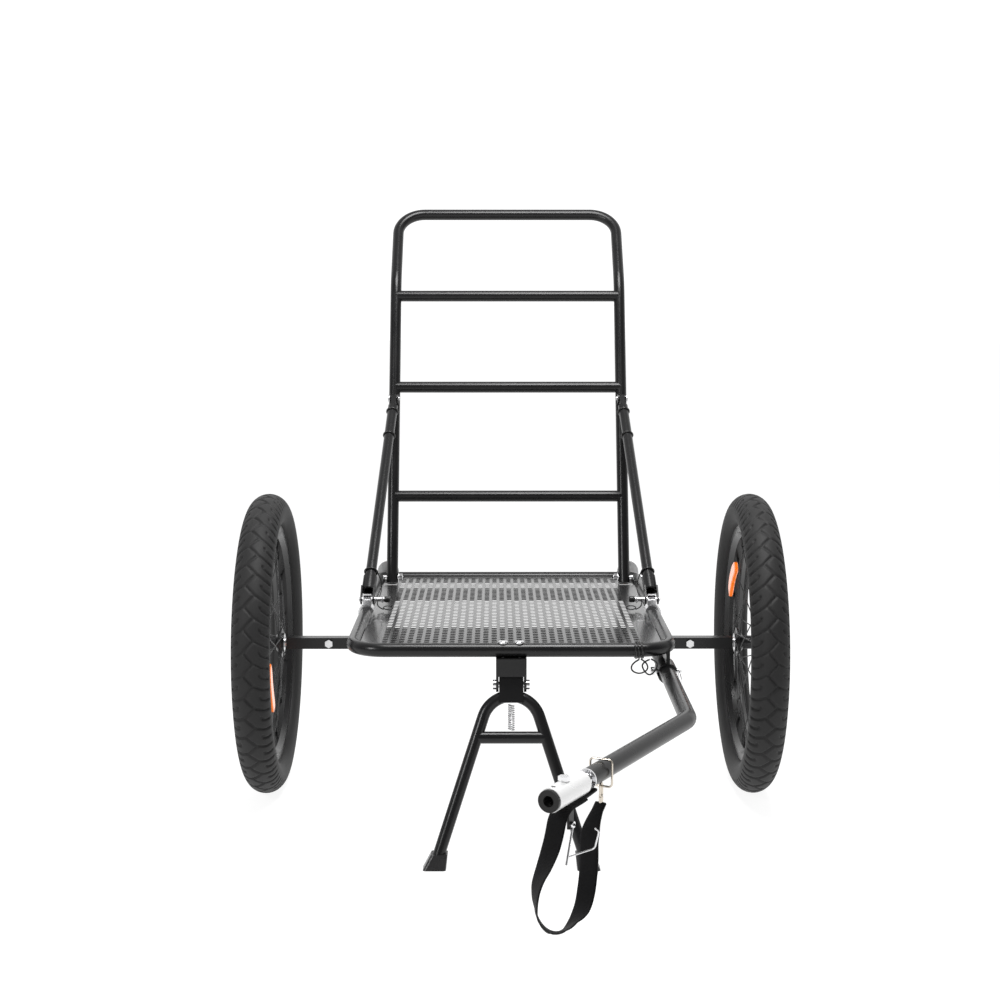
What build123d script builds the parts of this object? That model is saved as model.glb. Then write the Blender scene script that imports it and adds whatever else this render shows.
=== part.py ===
"""Two-wheeled bicycle trailer chassis with a perforated deck, a folding backrest and a prop stand.

Millimetres. +X is the trailer's right as seen from the bicycle, +Y points rearwards, +Z up.
The origin is on the floor, under the centre of the trailer's box.
"""
import os
from math import atan2, cos, degrees, hypot, radians, sin, tan

from build123d import *

os.makedirs("parts", exist_ok=True)

# ---- wheels -------------------------------------------------------------------------------
tyre_radius = 265.0          # 20 x 2.5 tyre, 530 mm over the tread
tyre_width = 64.0
tyre_wall = 3.5
tread_thickness = 6.0
bead_radius = 203.0          # ISO 406 rim
bead_half_width = 14.0
bead_lip = 7.0               # from the bead's foot to where the wall leaves the rim
rim_width = 34.0
rim_flange_radius = 209.0
rim_flange = 2.0
rim_depth = 13.0             # from the bead seat to the rim's inner face
rim_skin = 2.0
tube_gap = 0.3               # inner tube inside the tyre
tube_wall = 1.2
valve_radius = 3.2
valve_length = 34.0
track = 856.0                # between the two wheels' middles
spoke_pairs = 7              # pairs on each side of a wheel
spoke_cross = 38.0           # hub end of a spoke from the middle of its pair, degrees
outer_spoke_gap = 1.8        # outer spokes stand off the flange they lean towards
wheel_phase = 4.0            # how far the wheels are turned, degrees
spoke_radius = 1.0
nipple_radius = 2.0
nipple_length = 12.0
hub_half_length = 27.0
flange_radius = 26.0
flange_thickness = 3.0
flange_place = 22.0          # flange middle from the wheel's middle
spoke_circle = 21.0
hub_barrel_radius = 12.0
bearing_radius = 14.0        # 6001 bearing: 12 x 28 x 8
bearing_width = 8.0
bearing_housing_radius = 17.0
axle_radius = 6.0
running_gap = 0.05           # radial clearance of a shaft in its hole
end_gap = 0.3                # axial clearance beside a turning part
axle_nut_length = 8.0
axle_nut_flats = 17.0
wheel_reflector_length = 90.0
wheel_reflector_width = 32.0
wheel_reflector_thickness = 10.0
wheel_reflector_radius = 139.0
wheel_reflector_offset = 12.6
reflector_angle = {"left": 205.0, "right": 48.5}   # from straight back, turning upwards

# ---- frame --------------------------------------------------------------------------------
frame_tube_radius = 11.1     # 22.2 mm tube
tube_thickness = 1.5
deck_width = 505.2           # between rail centres
deck_front = 344.0           # front tube ahead of the axle
deck_rear = 336.0            # rear tube behind the axle
deck_corner = 52.0           # front corners
deck_rear_corner = 22.0
deck_z = 325.0
plate_thickness = 1.5
plate_top = 329.0
plate_gap = 0.4              # between the plate and the tubes beside it
notch_gap = 3.0              # round the uprights and their nuts
pivot_stack = 9.0            # washer and nut inboard of each upright
fold_slot = 84.0             # slot in the plate ahead of each pivot, for the folded uprights
crossmember_size = 20.0
crossmember_places = (-190.0, 190.0)
axle_bar_size = 20.0
axle_bar_wall = 2.0
axle_plug_length = 95.0
axle_bolt_place = 76.0       # bolt inboard of the end of the axle bar
bracket_thickness = 6.0
bracket_length = 44.0
bracket_drop = 8.0           # bracket below the axle bar's underside

# ---- backrest and struts ------------------------------------------------------------------
backrest_width = 455.0       # between upright centres
pivot_y = 308.95              # backrest pivot behind the axle
pivot_z = 330.0
backrest_lean = 19.3         # degrees back from upright
bend_z = 905.0               # where the uprights bend back
top_lean = 42.0
top_z = 1048.0
bend_radius = 110.0
top_corner = 54.0
upright_tail = 12.0          # upright below its pivot
pivot_bolt_radius = 4.0
crossbar_heights = (484.0, 696.0, 878.0)
strut_radius = 9.5           # 19 mm tube
strut_pivot_s = 358.1        # strut hinge along the upright from the backrest pivot
strut_pivot_out = 21.5       # strut hinge ahead of the upright's centre line
strut_foot_y = -22.0
strut_foot_z = 347.0
strut_foot_x = 251.0
tongue_thickness = 10.0
ear_thickness = 3.0
ear_radius = 9.0
ear_gap = 0.3
sleeve_start = 20.0          # lower sleeve, from the foot pin along the strut
sleeve_length = 33.0
sleeve_wall = 2.75
strut_pin_radius = 4.0
strut_grip_length = 30.0
strut_grip_radius = 5.5
clevis_width = 14.0
clevis_length = 30.0
clevis_skin = 3.0
backrest_fold = 102.0        # degrees from upright use to flat on the deck
slot_gap = 0.3
reflector_width = 42.0
reflector_height = 62.0
reflector_thickness = 7.0
reflector_x = 238.0
reflector_z = 325.0

# ---- prop stand ---------------------------------------------------------------------------
stand_tube_radius = 9.5
stand_pivot_y = -347.0
stand_pivot_z = 270.0
stand_lean = 17.3            # legs lean forward by this
stand_splay = 17.9           # each leg outwards
stand_width_at = (93.2, 58.0)     # distance below the pivot, leg centre from the middle
stand_bend = 46.3
stand_crossbar_drop = 82.7
stand_leg_end = 10.0         # leg tube's end above the floor
foot_width = 36.0
foot_depth = 30.0
foot_height = 22.0
foot_top = 26.0
stand_bracket_width = 48.0
stand_bracket_depth = 30.0
stand_bracket_sheet = 4.0
stand_web_drop = 28.0
cheek_radius = 11.5
stand_hub_width = 38.0
stand_hub_depth = 22.0
stand_hub_top = 12.0
stand_hub_drop = 29.0
stand_bolt_radius = 5.0
deck_bolt_spacing = 26.0
deck_bolt_radius = 3.0
deck_bolt_head = 7.6
deck_bolt_crown = 4.0
spring_radius = 5.9
spring_bore = 4.3

# ---- drawbar and coupler ------------------------------------------------------------------
drawbar_radius = 12.7        # 25.4 mm tube
drawbar_wall = 2.0
drawbar_x = 249.0
drawbar_z = 283.0
drawbar_rear = 30.0          # rear end ahead of the axle
drawbar_bend_y = 613.0       # bend ahead of the axle
drawbar_bend = 60.0
hitch_x = 38.0               # coupler mouth from the middle
hitch_reach = 1000.0         # coupler mouth ahead of the axle
receiver_wall = 3.8
receiver_length = 50.0
front_receiver = 330.0       # front face ahead of the axle
rear_receiver = 80.0
receiver_web = 6.0
lock_pin_radius = 4.0
lock_pin_set = 22.0          # pin behind the receiver's front face
bush_length = 4.0
bush_radius = 14.0
bush_bore = 6.9
sleeve_radius = 15.0
coupler_sleeve_wall = 2.5
sleeve_front = 4.0
sleeve_rear = 88.0
hitch_hole_place = 13.0
hitch_hole_radius = 3.2
coupler_bolt_place = 42.0
coupler_bolt_radius = 4.0
socket_front = 104.0
socket_length = 26.0
ball_place = 107.5
ball_radius = 9.0
ball_gap = 0.3
ball_neck_radius = 4.5
link_head_radius = 9.5
link_head_rear = 97.0
tube_end_place = 106.5
ring_place = 148.0
ring_wire = 1.5
ring_half_width = 17.0
ring_hang = 5.5              # room under the tube for the snap hook
hook_wire = 1.6
hook_gap = 0.2
hook_length = 17.5
hook_barrel = 3.0
gate_wire = 1.2
gate_room = 0.7             # under the gate, so that its foot can turn
strap_width = 25.0
strap_thickness = 2.0
tab_place = 60.0             # riveted tab behind the mouth
tab_width = 13.0
tab_length = 30.0
tab_thickness = 3.0
rivet_radius = 1.6
pin_eye_rim = 0.2            # eye beyond the pin on each side
pin_eye_radius = 4.0
hitch_pin_radius = 1.5
pin_length = 46.0
pin_swing = 18.0             # how far the pin hangs out of plumb
bail_rise = 10.0
bail_wire = 1.0


# ---- helpers ------------------------------------------------------------------------------
def box_between(x, y, z, mode=Mode.ADD):
    """A box between pairs of limits, y measured from the axle."""
    with Locations(((x[0] + x[1]) / 2, axle_y + (y[0] + y[1]) / 2, (z[0] + z[1]) / 2)):
        Box(abs(x[1] - x[0]), abs(y[1] - y[0]), abs(z[1] - z[0]), mode=mode)


def rod(start, end, radius, mode=Mode.ADD):
    """A round bar from one point to another."""
    run = Vector(*end) - Vector(*start)
    with Locations(Plane(origin=start, z_dir=run)):
        Cylinder(radius, run.length, align=(Align.CENTER, Align.CENTER, Align.MIN), mode=mode)


def hexagon(start, end, flats, mode=Mode.ADD):
    """A hexagonal bar from one point to another, measured across its flats."""
    run = Vector(*end) - Vector(*start)
    with BuildSketch(Plane(origin=start, z_dir=run)) as outline:
        RegularPolygon(flats / 2, 6, major_radius=False)
    extrude(outline.sketch, amount=run.length, mode=mode)


def sweep_tube(path, radius, wall=0.0):
    """A bar, or a tube with the wall given, along a path."""
    with BuildSketch(Plane(origin=path @ 0, z_dir=path % 0)) as section_at_start:
        Circle(radius)
        if wall:
            Circle(radius - wall, mode=Mode.SUBTRACT)
    sweep(section_at_start.sketch, path=path)


def finish(piece, name):
    """Label a finished piece and write it out."""
    piece.part.label = name
    export_step(piece.part, f"parts/{name}.step")


# ---- places that several pieces share -----------------------------------------------------
arm_run = Vector(hitch_x - drawbar_x, -(hitch_reach - drawbar_bend_y), 0)
arm = arm_run.normalized()                       # along the drawbar's angled run, forwards
arm_side = Vector(-arm.Y, arm.X, 0)

lean = radians(backrest_lean)
up_lean = radians(top_lean)
upright_dir = Vector(0, sin(lean), cos(lean))
upright_front = Vector(0, -cos(lean), sin(lean))
bend_y = pivot_y + (bend_z - pivot_z) * tan(lean)
top_y = bend_y + (top_z - bend_z) * tan(up_lean)

# the box runs from the coupler's mouth to the back of the top bar, and its centre is at Y = 0
front_reach = hitch_reach + bush_radius * abs(arm.X)
axle_y = (front_reach - (top_y + frame_tube_radius)) / 2
axle_z = tyre_radius

rail_x = deck_width / 2
rail_bottom = deck_z - frame_tube_radius
pivot = Vector(0, axle_y + pivot_y, pivot_z)
strut_top = pivot + upright_dir * strut_pivot_s + upright_front * strut_pivot_out
strut_foot = Vector(0, axle_y + strut_foot_y, strut_foot_z)
mouth = Vector(hitch_x, axle_y - hitch_reach, drawbar_z)


# folding turns the backrest forward while the struts come to lie level
strut_drop = atan2(strut_top.Z - strut_foot.Z, strut_top.Y - strut_foot.Y)
strut_turn = -degrees(strut_drop) / backrest_fold
to_top = strut_top - pivot
to_foot = strut_foot - strut_top
foot_path = Vector(0, -to_top.Z - strut_turn * to_foot.Z, to_top.Y + strut_turn * to_foot.Y).normalized()


def on_arm(place, drop=0.0, side=0.0):
    """A point behind the coupler's mouth along the drawbar's angled run."""
    return mouth - arm * place + arm_side * side - Vector(0, 0, drop)


# ---- deck frame ---------------------------------------------------------------------------
deck_corners = [(sx * rail_x, axle_y + y, deck_z)
                for sx, y in ((1, -deck_front), (1, deck_rear), (-1, deck_rear), (-1, -deck_front))]
deck_radii = [deck_corner, deck_rear_corner, deck_rear_corner, deck_corner]
with BuildPart() as deck_tube_solid:
    with BuildLine():
        hoop = FilletPolyline(*deck_corners, radius=deck_radii, close=True)
    sweep_tube(hoop, frame_tube_radius)

with BuildPart() as deck_frame:
    with BuildLine():
        hoop = FilletPolyline(*deck_corners, radius=deck_radii, close=True)
    sweep_tube(hoop, frame_tube_radius, tube_thickness)
    # vertical holes for the two stand bolts, cross holes for the backrest pivots
    for x in (-deck_bolt_spacing / 2, deck_bolt_spacing / 2):
        y = axle_y - deck_front
        rod((x, y, deck_z - 20), (x, y, deck_z + 20), deck_bolt_radius, Mode.SUBTRACT)
    rod((-rail_x - 20, pivot.Y, pivot.Z), (rail_x + 20, pivot.Y, pivot.Z), pivot_bolt_radius, Mode.SUBTRACT)
finish(deck_frame, "deck_frame")

# ---- deck plate: a flat sheet held inside the hoop, notched round the uprights --------------
plate_half = rail_x - frame_tube_radius - plate_gap
plate_front = deck_front - frame_tube_radius - plate_gap
plate_rear = deck_rear - frame_tube_radius - plate_gap
with BuildPart() as deck_plate:
    with BuildSketch(Plane.XY.offset(plate_top - plate_thickness)):
        with Locations((0, axle_y + (plate_rear - plate_front) / 2)):
            Rectangle(2 * plate_half, plate_rear + plate_front)
    extrude(amount=plate_thickness)
    upright_edges = deck_plate.edges().filter_by(Axis.Z)
    fillet(upright_edges.group_by(Axis.Y)[0], deck_corner - frame_tube_radius - plate_gap)
    fillet(deck_plate.edges().filter_by(Axis.Z).group_by(Axis.Y)[-1],
           deck_rear_corner - frame_tube_radius - plate_gap)
    for side in (-1, 1):
        nut_side = side * (backrest_width / 2 - frame_tube_radius - pivot_stack - notch_gap)
        upright_side = side * (backrest_width / 2 - frame_tube_radius - notch_gap)
        nut_reach = frame_tube_radius + notch_gap
        box_between((nut_side, side * rail_x), (pivot_y - nut_reach, pivot_y + nut_reach + 4),
                    (plate_top - 10, plate_top + 10), Mode.SUBTRACT)
        box_between((upright_side, side * rail_x), (pivot_y - fold_slot, pivot_y),
                    (plate_top - 10, plate_top + 10), Mode.SUBTRACT)
        box_between((side * (plate_half - clevis_skin), side * rail_x),
                    (strut_foot_y - clevis_length / 2 - 1, strut_foot_y + clevis_length / 2 + 1),
                    (plate_top - 10, plate_top + 10), Mode.SUBTRACT)
finish(deck_plate, "deck_plate")

# ---- two square tubes across the frame, under the plate --------------------------------------
with BuildPart() as deck_crossmembers:
    top = plate_top - plate_thickness
    for y in crossmember_places:
        box_between((-rail_x, rail_x), (y - crossmember_size / 2, y + crossmember_size / 2),
                    (top - crossmember_size, top))
        inner = crossmember_size / 2 - tube_thickness
        box_between((-rail_x, rail_x), (y - inner, y + inner),
                    (top - crossmember_size + tube_thickness, top - tube_thickness), Mode.SUBTRACT)
    add(deck_tube_solid.part, mode=Mode.SUBTRACT)
finish(deck_crossmembers, "deck_crossmembers")

# ---- axle bar and what holds it under the rails ---------------------------------------------
bar_end = track / 2 - hub_half_length - 4.0
bar_half = axle_bar_size / 2
bar_inner = bar_half - axle_bar_wall
with BuildPart() as axle_bar:
    box_between((-bar_end, bar_end), (-bar_half, bar_half), (axle_z - bar_half, axle_z + bar_half))
    box_between((-bar_end, bar_end), (-bar_inner, bar_inner), (axle_z - bar_inner, axle_z + bar_inner),
                Mode.SUBTRACT)
    for side in (-1, 1):
        x = side * (bar_end - axle_bolt_place)
        rod((x, axle_y - 20, axle_z), (x, axle_y + 20, axle_z), coupler_bolt_radius, Mode.SUBTRACT)
finish(axle_bar, "axle_bar")

with BuildPart() as axle_brackets:
    for side in (-1, 1):
        x = side * rail_x
        box_between((x - bracket_thickness / 2, x + bracket_thickness / 2),
                    (-bracket_length / 2, bracket_length / 2),
                    (axle_z - bar_half - bracket_drop, deck_z))
    box_between((-bar_end, bar_end), (-bar_half, bar_half), (axle_z - bar_half, axle_z + bar_half),
                Mode.SUBTRACT)
    add(deck_tube_solid.part, mode=Mode.SUBTRACT)
finish(axle_brackets, "axle_brackets")

with BuildPart() as wheel_axles:
    axle_end = track / 2 + hub_half_length + end_gap + axle_nut_length
    for side in (-1, 1):
        box_between((side * (bar_end - axle_plug_length), side * bar_end), (-bar_inner, bar_inner),
                    (axle_z - bar_inner, axle_z + bar_inner))
        rod((side * bar_end, axle_y, axle_z),
            (side * (track / 2 - hub_half_length - end_gap), axle_y, axle_z), 9.0)
        rod((side * bar_end, axle_y, axle_z), (side * axle_end, axle_y, axle_z), axle_radius)
        x = side * (bar_end - axle_bolt_place)
        rod((x, axle_y - 20, axle_z), (x, axle_y + 20, axle_z), coupler_bolt_radius, Mode.SUBTRACT)
finish(wheel_axles, "wheel_axles")

with BuildPart() as axle_bolts:
    for side in (-1, 1):
        x = side * (bar_end - axle_bolt_place)
        rod((x, axle_y - bar_half, axle_z), (x, axle_y + bar_half + 8, axle_z), coupler_bolt_radius)
        hexagon((x, axle_y - bar_half - 5.5, axle_z), (x, axle_y - bar_half, axle_z), 13.0)
        hexagon((x, axle_y + bar_half, axle_z), (x, axle_y + bar_half + 6.5, axle_z), 13.0)
finish(axle_bolts, "axle_bolts")

with BuildPart() as axle_nuts:
    for side in (-1, 1):
        start = side * (track / 2 + hub_half_length + end_gap)
        hexagon((start, axle_y, axle_z), (side * axle_end, axle_y, axle_z), axle_nut_flats)
        rod((start, axle_y, axle_z), (side * axle_end, axle_y, axle_z), axle_radius, Mode.SUBTRACT)
finish(axle_nuts, "axle_nuts")


# ---- wheels ---------------------------------------------------------------------------------
def tyre_outline(half_width, crown, half_bead, lip, foot):
    """Round crown, walls drawn in to the beads and a flat foot; Y is the wheel's radius."""
    widest = crown - half_width
    bulge = ((half_width + half_bead) / 2 + 3.5, (widest + lip) / 2 - 4)
    with BuildLine() as edge:
        ThreePointArc((-half_width, widest), (0, crown), (half_width, widest))
        ThreePointArc((half_width, widest), bulge, (half_bead, lip))
        Polyline((half_bead, lip), (half_bead, foot), (-half_bead, foot), (-half_bead, lip))
        ThreePointArc((-half_bead, lip), (-bulge[0], bulge[1]), (-half_width, widest))
    return make_face(edge.line)


for side_name, side in (("left", -1), ("right", 1)):
    wheel_x = side * track / 2
    centre = (wheel_x, axle_y, axle_z)
    section = Plane(origin=centre, x_dir=(1, 0, 0), z_dir=(0, -1, 0))
    spin = Axis(centre, (1, 0, 0))
    inner_half = tyre_width / 2 - tyre_wall
    inner_crown = tyre_radius - tread_thickness
    inner_bead = bead_half_width - tyre_wall
    lip = bead_radius + bead_lip
    inner_lip = lip + tyre_wall

    with BuildPart() as tyre:
        with BuildSketch(section):
            tyre_outline(tyre_width / 2, tyre_radius, bead_half_width, lip, bead_radius)
            with BuildSketch(mode=Mode.SUBTRACT):
                tyre_outline(inner_half, inner_crown, inner_bead, inner_lip, bead_radius)
        revolve(axis=spin)
    finish(tyre, f"tyre_{side_name}")

    with BuildPart() as inner_tube:
        with BuildSketch(section):
            tyre_outline(inner_half - tube_gap, inner_crown - tube_gap, inner_bead - tube_gap,
                         inner_lip + tube_gap, bead_radius + tube_gap)
            with BuildSketch(mode=Mode.SUBTRACT):
                skin = tube_gap + tube_wall
                tyre_outline(inner_half - skin, inner_crown - skin, inner_bead - skin,
                             inner_lip + skin, bead_radius + skin)
        revolve(axis=spin)
        valve_top = bead_radius + tube_gap + tube_wall / 2
        rod((wheel_x, axle_y, axle_z - valve_top),
            (wheel_x, axle_y, axle_z - valve_top + valve_length), valve_radius)
    finish(inner_tube, f"inner_tube_{side_name}")

    with BuildPart() as rim:
        half = rim_width / 2
        rim_inner = bead_radius - rim_depth
        with BuildSketch(section):
            with BuildLine():
                Polyline((-half, rim_flange_radius), (-half, rim_inner + 7), (-9, rim_inner),
                         (9, rim_inner), (half, rim_inner + 7), (half, rim_flange_radius),
                         (half - rim_flange, rim_flange_radius), (half - rim_flange, bead_radius),
                         (-half + rim_flange, bead_radius), (-half + rim_flange, rim_flange_radius),
                         close=True)
            make_face()
            with BuildLine():
                Polyline((-half + rim_skin + 1, bead_radius - rim_skin),
                         (-half + rim_skin + 1, rim_inner + 8), (-8, rim_inner + rim_skin),
                         (8, rim_inner + rim_skin), (half - rim_skin - 1, rim_inner + 8),
                         (half - rim_skin - 1, bead_radius - rim_skin), close=True)
            make_face(mode=Mode.SUBTRACT)
        revolve(axis=spin)
        rod((wheel_x, axle_y, axle_z - rim_flange_radius),
            (wheel_x, axle_y, axle_z - rim_inner + 5), valve_radius + 0.4, Mode.SUBTRACT)
    finish(rim, f"rim_{side_name}")

    # each side of the wheel has pairs of spokes that cross once, close to the hub
    with BuildPart() as spokes:
        pitch = 360 / spoke_pairs
        lead = pitch / 4
        for face in (-1, 1):
            for pair in range(spoke_pairs):
                middle = pair * pitch + (lead if face > 0 else 0) + wheel_phase
                for turn in (-1, 1):
                    hub_angle = radians(middle - turn * spoke_cross)
                    rim_angle = radians(middle + turn * lead)
                    off = flange_thickness / 2 + spoke_radius + (outer_spoke_gap if turn > 0 else 0.05)
                    x_hub = wheel_x + face * (flange_place + turn * off)
                    hub_end = Vector(x_hub, axle_y + spoke_circle * cos(hub_angle),
                                     axle_z + spoke_circle * sin(hub_angle))
                    reach = rim_inner - 0.6
                    rim_end = Vector(wheel_x + face * 1.5,
                                     axle_y + reach * cos(rim_angle), axle_z + reach * sin(rim_angle))
                    along = (hub_end - rim_end).normalized()
                    rod(hub_end, rim_end, spoke_radius)
                    rod((rim_end + along * nipple_length), rim_end, nipple_radius)
    finish(spokes, f"spokes_{side_name}")

    with BuildPart() as hub:
        seat = hub_half_length - bearing_width
        with BuildSketch(section):
            with BuildLine():
                Polyline((-hub_half_length, bearing_radius), (-hub_half_length, bearing_housing_radius),
                         (-flange_place - flange_thickness / 2, bearing_housing_radius),
                         (-flange_place - flange_thickness / 2, flange_radius),
                         (-flange_place + flange_thickness / 2, flange_radius),
                         (-flange_place + flange_thickness / 2, bearing_housing_radius),
                         (-seat + 3, bearing_housing_radius), (-seat + 7, hub_barrel_radius),
                         (seat - 7, hub_barrel_radius), (seat - 3, bearing_housing_radius),
                         (flange_place - flange_thickness / 2, bearing_housing_radius),
                         (flange_place - flange_thickness / 2, flange_radius),
                         (flange_place + flange_thickness / 2, flange_radius),
                         (flange_place + flange_thickness / 2, bearing_housing_radius),
                         (hub_half_length, bearing_housing_radius), (hub_half_length, bearing_radius),
                         (seat, bearing_radius), (seat, axle_radius + 2), (-seat, axle_radius + 2),
                         (-seat, bearing_radius), close=True)
            make_face()
        revolve(axis=spin)
    finish(hub, f"hub_{side_name}")

    with BuildPart() as bearings:
        for face in (-1, 1):
            near = wheel_x + face * seat
            far = wheel_x + face * hub_half_length
            rod((near, axle_y, axle_z), (far, axle_y, axle_z), bearing_radius)
            rod((near, axle_y, axle_z), (far, axle_y, axle_z), axle_radius + running_gap, Mode.SUBTRACT)
    finish(bearings, f"bearings_{side_name}")

    with BuildPart() as wheel_reflector:
        turn = radians(reflector_angle[side_name])
        place = (wheel_x - side * wheel_reflector_offset,
                 axle_y + wheel_reflector_radius * cos(turn), axle_z + wheel_reflector_radius * sin(turn))
        with BuildSketch(Plane(origin=place, x_dir=(0, -sin(turn), cos(turn)), z_dir=(-side, 0, 0))):
            SlotOverall(wheel_reflector_length, wheel_reflector_width)
        extrude(amount=wheel_reflector_thickness)
    finish(wheel_reflector, f"wheel_reflector_{side_name}")

# ---- rear reflectors on the frame's back corners ----------------------------------------------
reflector_y = deck_rear + frame_tube_radius + 0.2
with BuildPart() as reflector_housings:
    for side in (-1, 1):
        with BuildSketch(Plane(origin=(side * reflector_x, axle_y + reflector_y, reflector_z),
                               x_dir=(1, 0, 0), z_dir=(0, -1, 0))):
            SlotOverall(reflector_height, reflector_width, rotation=90)
        extrude(amount=-reflector_thickness)
finish(reflector_housings, "reflector_housings")

with BuildPart() as reflector_lenses:
    for side in (-1, 1):
        with BuildSketch(Plane(origin=(side * reflector_x, axle_y + reflector_y + reflector_thickness,
                                       reflector_z), x_dir=(1, 0, 0), z_dir=(0, -1, 0))):
            SlotOverall(reflector_height - 6, reflector_width - 6, rotation=90)
        extrude(amount=-3.0)
finish(reflector_lenses, "reflector_lenses")

# ---- backrest --------------------------------------------------------------------------------
half_back = backrest_width / 2
tail = pivot - upright_dir * upright_tail
backrest_points = [(-half_back, tail.Y, tail.Z), (-half_back, axle_y + bend_y, bend_z),
                   (-half_back, axle_y + top_y, top_z), (half_back, axle_y + top_y, top_z),
                   (half_back, axle_y + bend_y, bend_z), (half_back, tail.Y, tail.Z)]
backrest_radii = [bend_radius, top_corner, top_corner, bend_radius]
with BuildPart() as backrest_solid:
    with BuildLine():
        backrest_path = FilletPolyline(*backrest_points, radius=backrest_radii)
    sweep_tube(backrest_path, frame_tube_radius)

with BuildPart() as backrest_frame:
    with BuildLine():
        backrest_path = FilletPolyline(*backrest_points, radius=backrest_radii)
    sweep_tube(backrest_path, frame_tube_radius, tube_thickness)
    rod((-half_back - 20, pivot.Y, pivot.Z), (half_back + 20, pivot.Y, pivot.Z),
        pivot_bolt_radius + running_gap, Mode.SUBTRACT)
finish(backrest_frame, "backrest_frame")

with BuildPart() as backrest_crossbars:
    for height in crossbar_heights:
        y = pivot.Y + (height - pivot_z) * tan(lean)
        rod((-half_back, y, height), (half_back, y, height), frame_tube_radius)
        rod((-half_back, y, height), (half_back, y, height), frame_tube_radius - tube_thickness,
            Mode.SUBTRACT)
    add(backrest_solid.part, mode=Mode.SUBTRACT)
finish(backrest_crossbars, "backrest_crossbars")

with BuildPart() as backrest_pivot_bolts:
    for side in (-1, 1):
        outside = side * (rail_x + frame_tube_radius + 0.1)
        inside = side * (half_back - frame_tube_radius - 1.0)
        rod((outside, pivot.Y, pivot.Z), (inside - side * 9, pivot.Y, pivot.Z), pivot_bolt_radius)
        hexagon((outside, pivot.Y, pivot.Z), (outside + side * 5, pivot.Y, pivot.Z), 13.0)
        rod((inside, pivot.Y, pivot.Z), (inside - side * 1.5, pivot.Y, pivot.Z), 8.5)
        hexagon((inside - side * 1.5, pivot.Y, pivot.Z), (inside - side * 8, pivot.Y, pivot.Z), 13.0)
finish(backrest_pivot_bolts, "backrest_pivot_bolts")

# ---- strut hinge ears on the uprights ---------------------------------------------------------
strut_hole = strut_pin_radius + running_gap
ear_inner = tongue_thickness / 2 + ear_gap
with BuildPart() as strut_ears:
    for side in (-1, 1):
        for face in (-1, 1):
            x = side * half_back + face * ear_inner
            with BuildSketch(Plane(origin=(x, strut_top.Y, strut_top.Z),
                                   x_dir=upright_front, z_dir=(face, 0, 0))):
                Circle(ear_radius)
                with Locations((-strut_pivot_out / 2, 0)):
                    Rectangle(strut_pivot_out, 2 * ear_radius)
            extrude(amount=ear_thickness)
    add(backrest_solid.part, mode=Mode.SUBTRACT)
    rod((-half_back - 20, strut_top.Y, strut_top.Z), (half_back + 20, strut_top.Y, strut_top.Z),
        strut_pin_radius, Mode.SUBTRACT)
finish(strut_ears, "strut_ears")

with BuildPart() as strut_top_pins:
    for side in (-1, 1):
        x = side * half_back
        reach = ear_inner + ear_thickness
        rod((x - reach - 3, strut_top.Y, strut_top.Z), (x + reach + 3, strut_top.Y, strut_top.Z),
            strut_pin_radius)
        rod((x + side * reach, strut_top.Y, strut_top.Z),
            (x + side * (reach + 3), strut_top.Y, strut_top.Z),
            strut_pin_radius + 2.5)
finish(strut_top_pins, "strut_top_pins")

# ---- struts: a tube with a flat tongue on top and a forked sleeve at its foot -------------------
for side_name, side in (("left", -1), ("right", 1)):
    head = Vector(side * half_back, strut_top.Y, strut_top.Z)
    foot = Vector(side * strut_foot_x, strut_foot.Y, strut_foot.Z)
    run = head - foot
    strut_dir = run.normalized()
    flat_dir = Vector(0, strut_dir.Y, strut_dir.Z).normalized()
    tube_top = run.length - 2 * ear_radius - 6

    with BuildPart() as strut_tube:
        rod((foot + strut_dir * sleeve_start), (foot + strut_dir * tube_top),
            strut_radius)
        rod((foot + strut_dir * sleeve_start),
            (foot + strut_dir * (tube_top - 8)), strut_radius - tube_thickness, Mode.SUBTRACT)
        with BuildSketch(Plane(origin=(head.X - tongue_thickness / 2, head.Y, head.Z),
                               x_dir=(-flat_dir), z_dir=(1, 0, 0))):
            Circle(ear_radius - 1)
            with Locations((ear_radius + 3, 0)):
                Rectangle(2 * ear_radius + 6, 2 * ear_radius - 2)
        extrude(amount=tongue_thickness)
        rod((head.X - 20, head.Y, head.Z), (head.X + 20, head.Y, head.Z), strut_hole, Mode.SUBTRACT)
    finish(strut_tube, f"strut_tube_{side_name}")

    with BuildPart() as strut_sleeve:
        rod((foot + strut_dir * sleeve_start),
            (foot + strut_dir * (sleeve_start + sleeve_length)), strut_radius + sleeve_wall)
        for face in (-1, 1):
            inner = foot.X + face * (strut_radius + 0.1)
            with BuildSketch(Plane(origin=(inner, foot.Y, foot.Z), x_dir=flat_dir,
                                   z_dir=(face, 0, 0))):
                Circle(ear_radius)
                with Locations(((sleeve_start + 6) / 2, 0)):
                    Rectangle(sleeve_start + 6, 2 * ear_radius)
            extrude(amount=sleeve_wall - 0.2)
        rod((foot + strut_dir * (sleeve_start - 0.01)),
            (foot + strut_dir * (sleeve_start + sleeve_length + 1)), strut_radius, Mode.SUBTRACT)
        rod((foot.X - 20, foot.Y, foot.Z), (foot.X + 20, foot.Y, foot.Z), strut_hole, Mode.SUBTRACT)
    finish(strut_sleeve, f"strut_sleeve_{side_name}")

    # quick-release pin, pulled out towards the deck by its grip
    with BuildPart() as strut_pin:
        inboard = foot.X - side * (strut_radius + sleeve_wall + 1.5)
        rod((foot.X + side * (strut_radius + sleeve_wall + 2.5), foot.Y, foot.Z),
            (inboard, foot.Y, foot.Z), strut_pin_radius)
        rod((inboard, foot.Y, foot.Z), (inboard - side * strut_grip_length, foot.Y, foot.Z),
            strut_grip_radius)
    finish(strut_pin, f"strut_pin_{side_name}")

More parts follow.
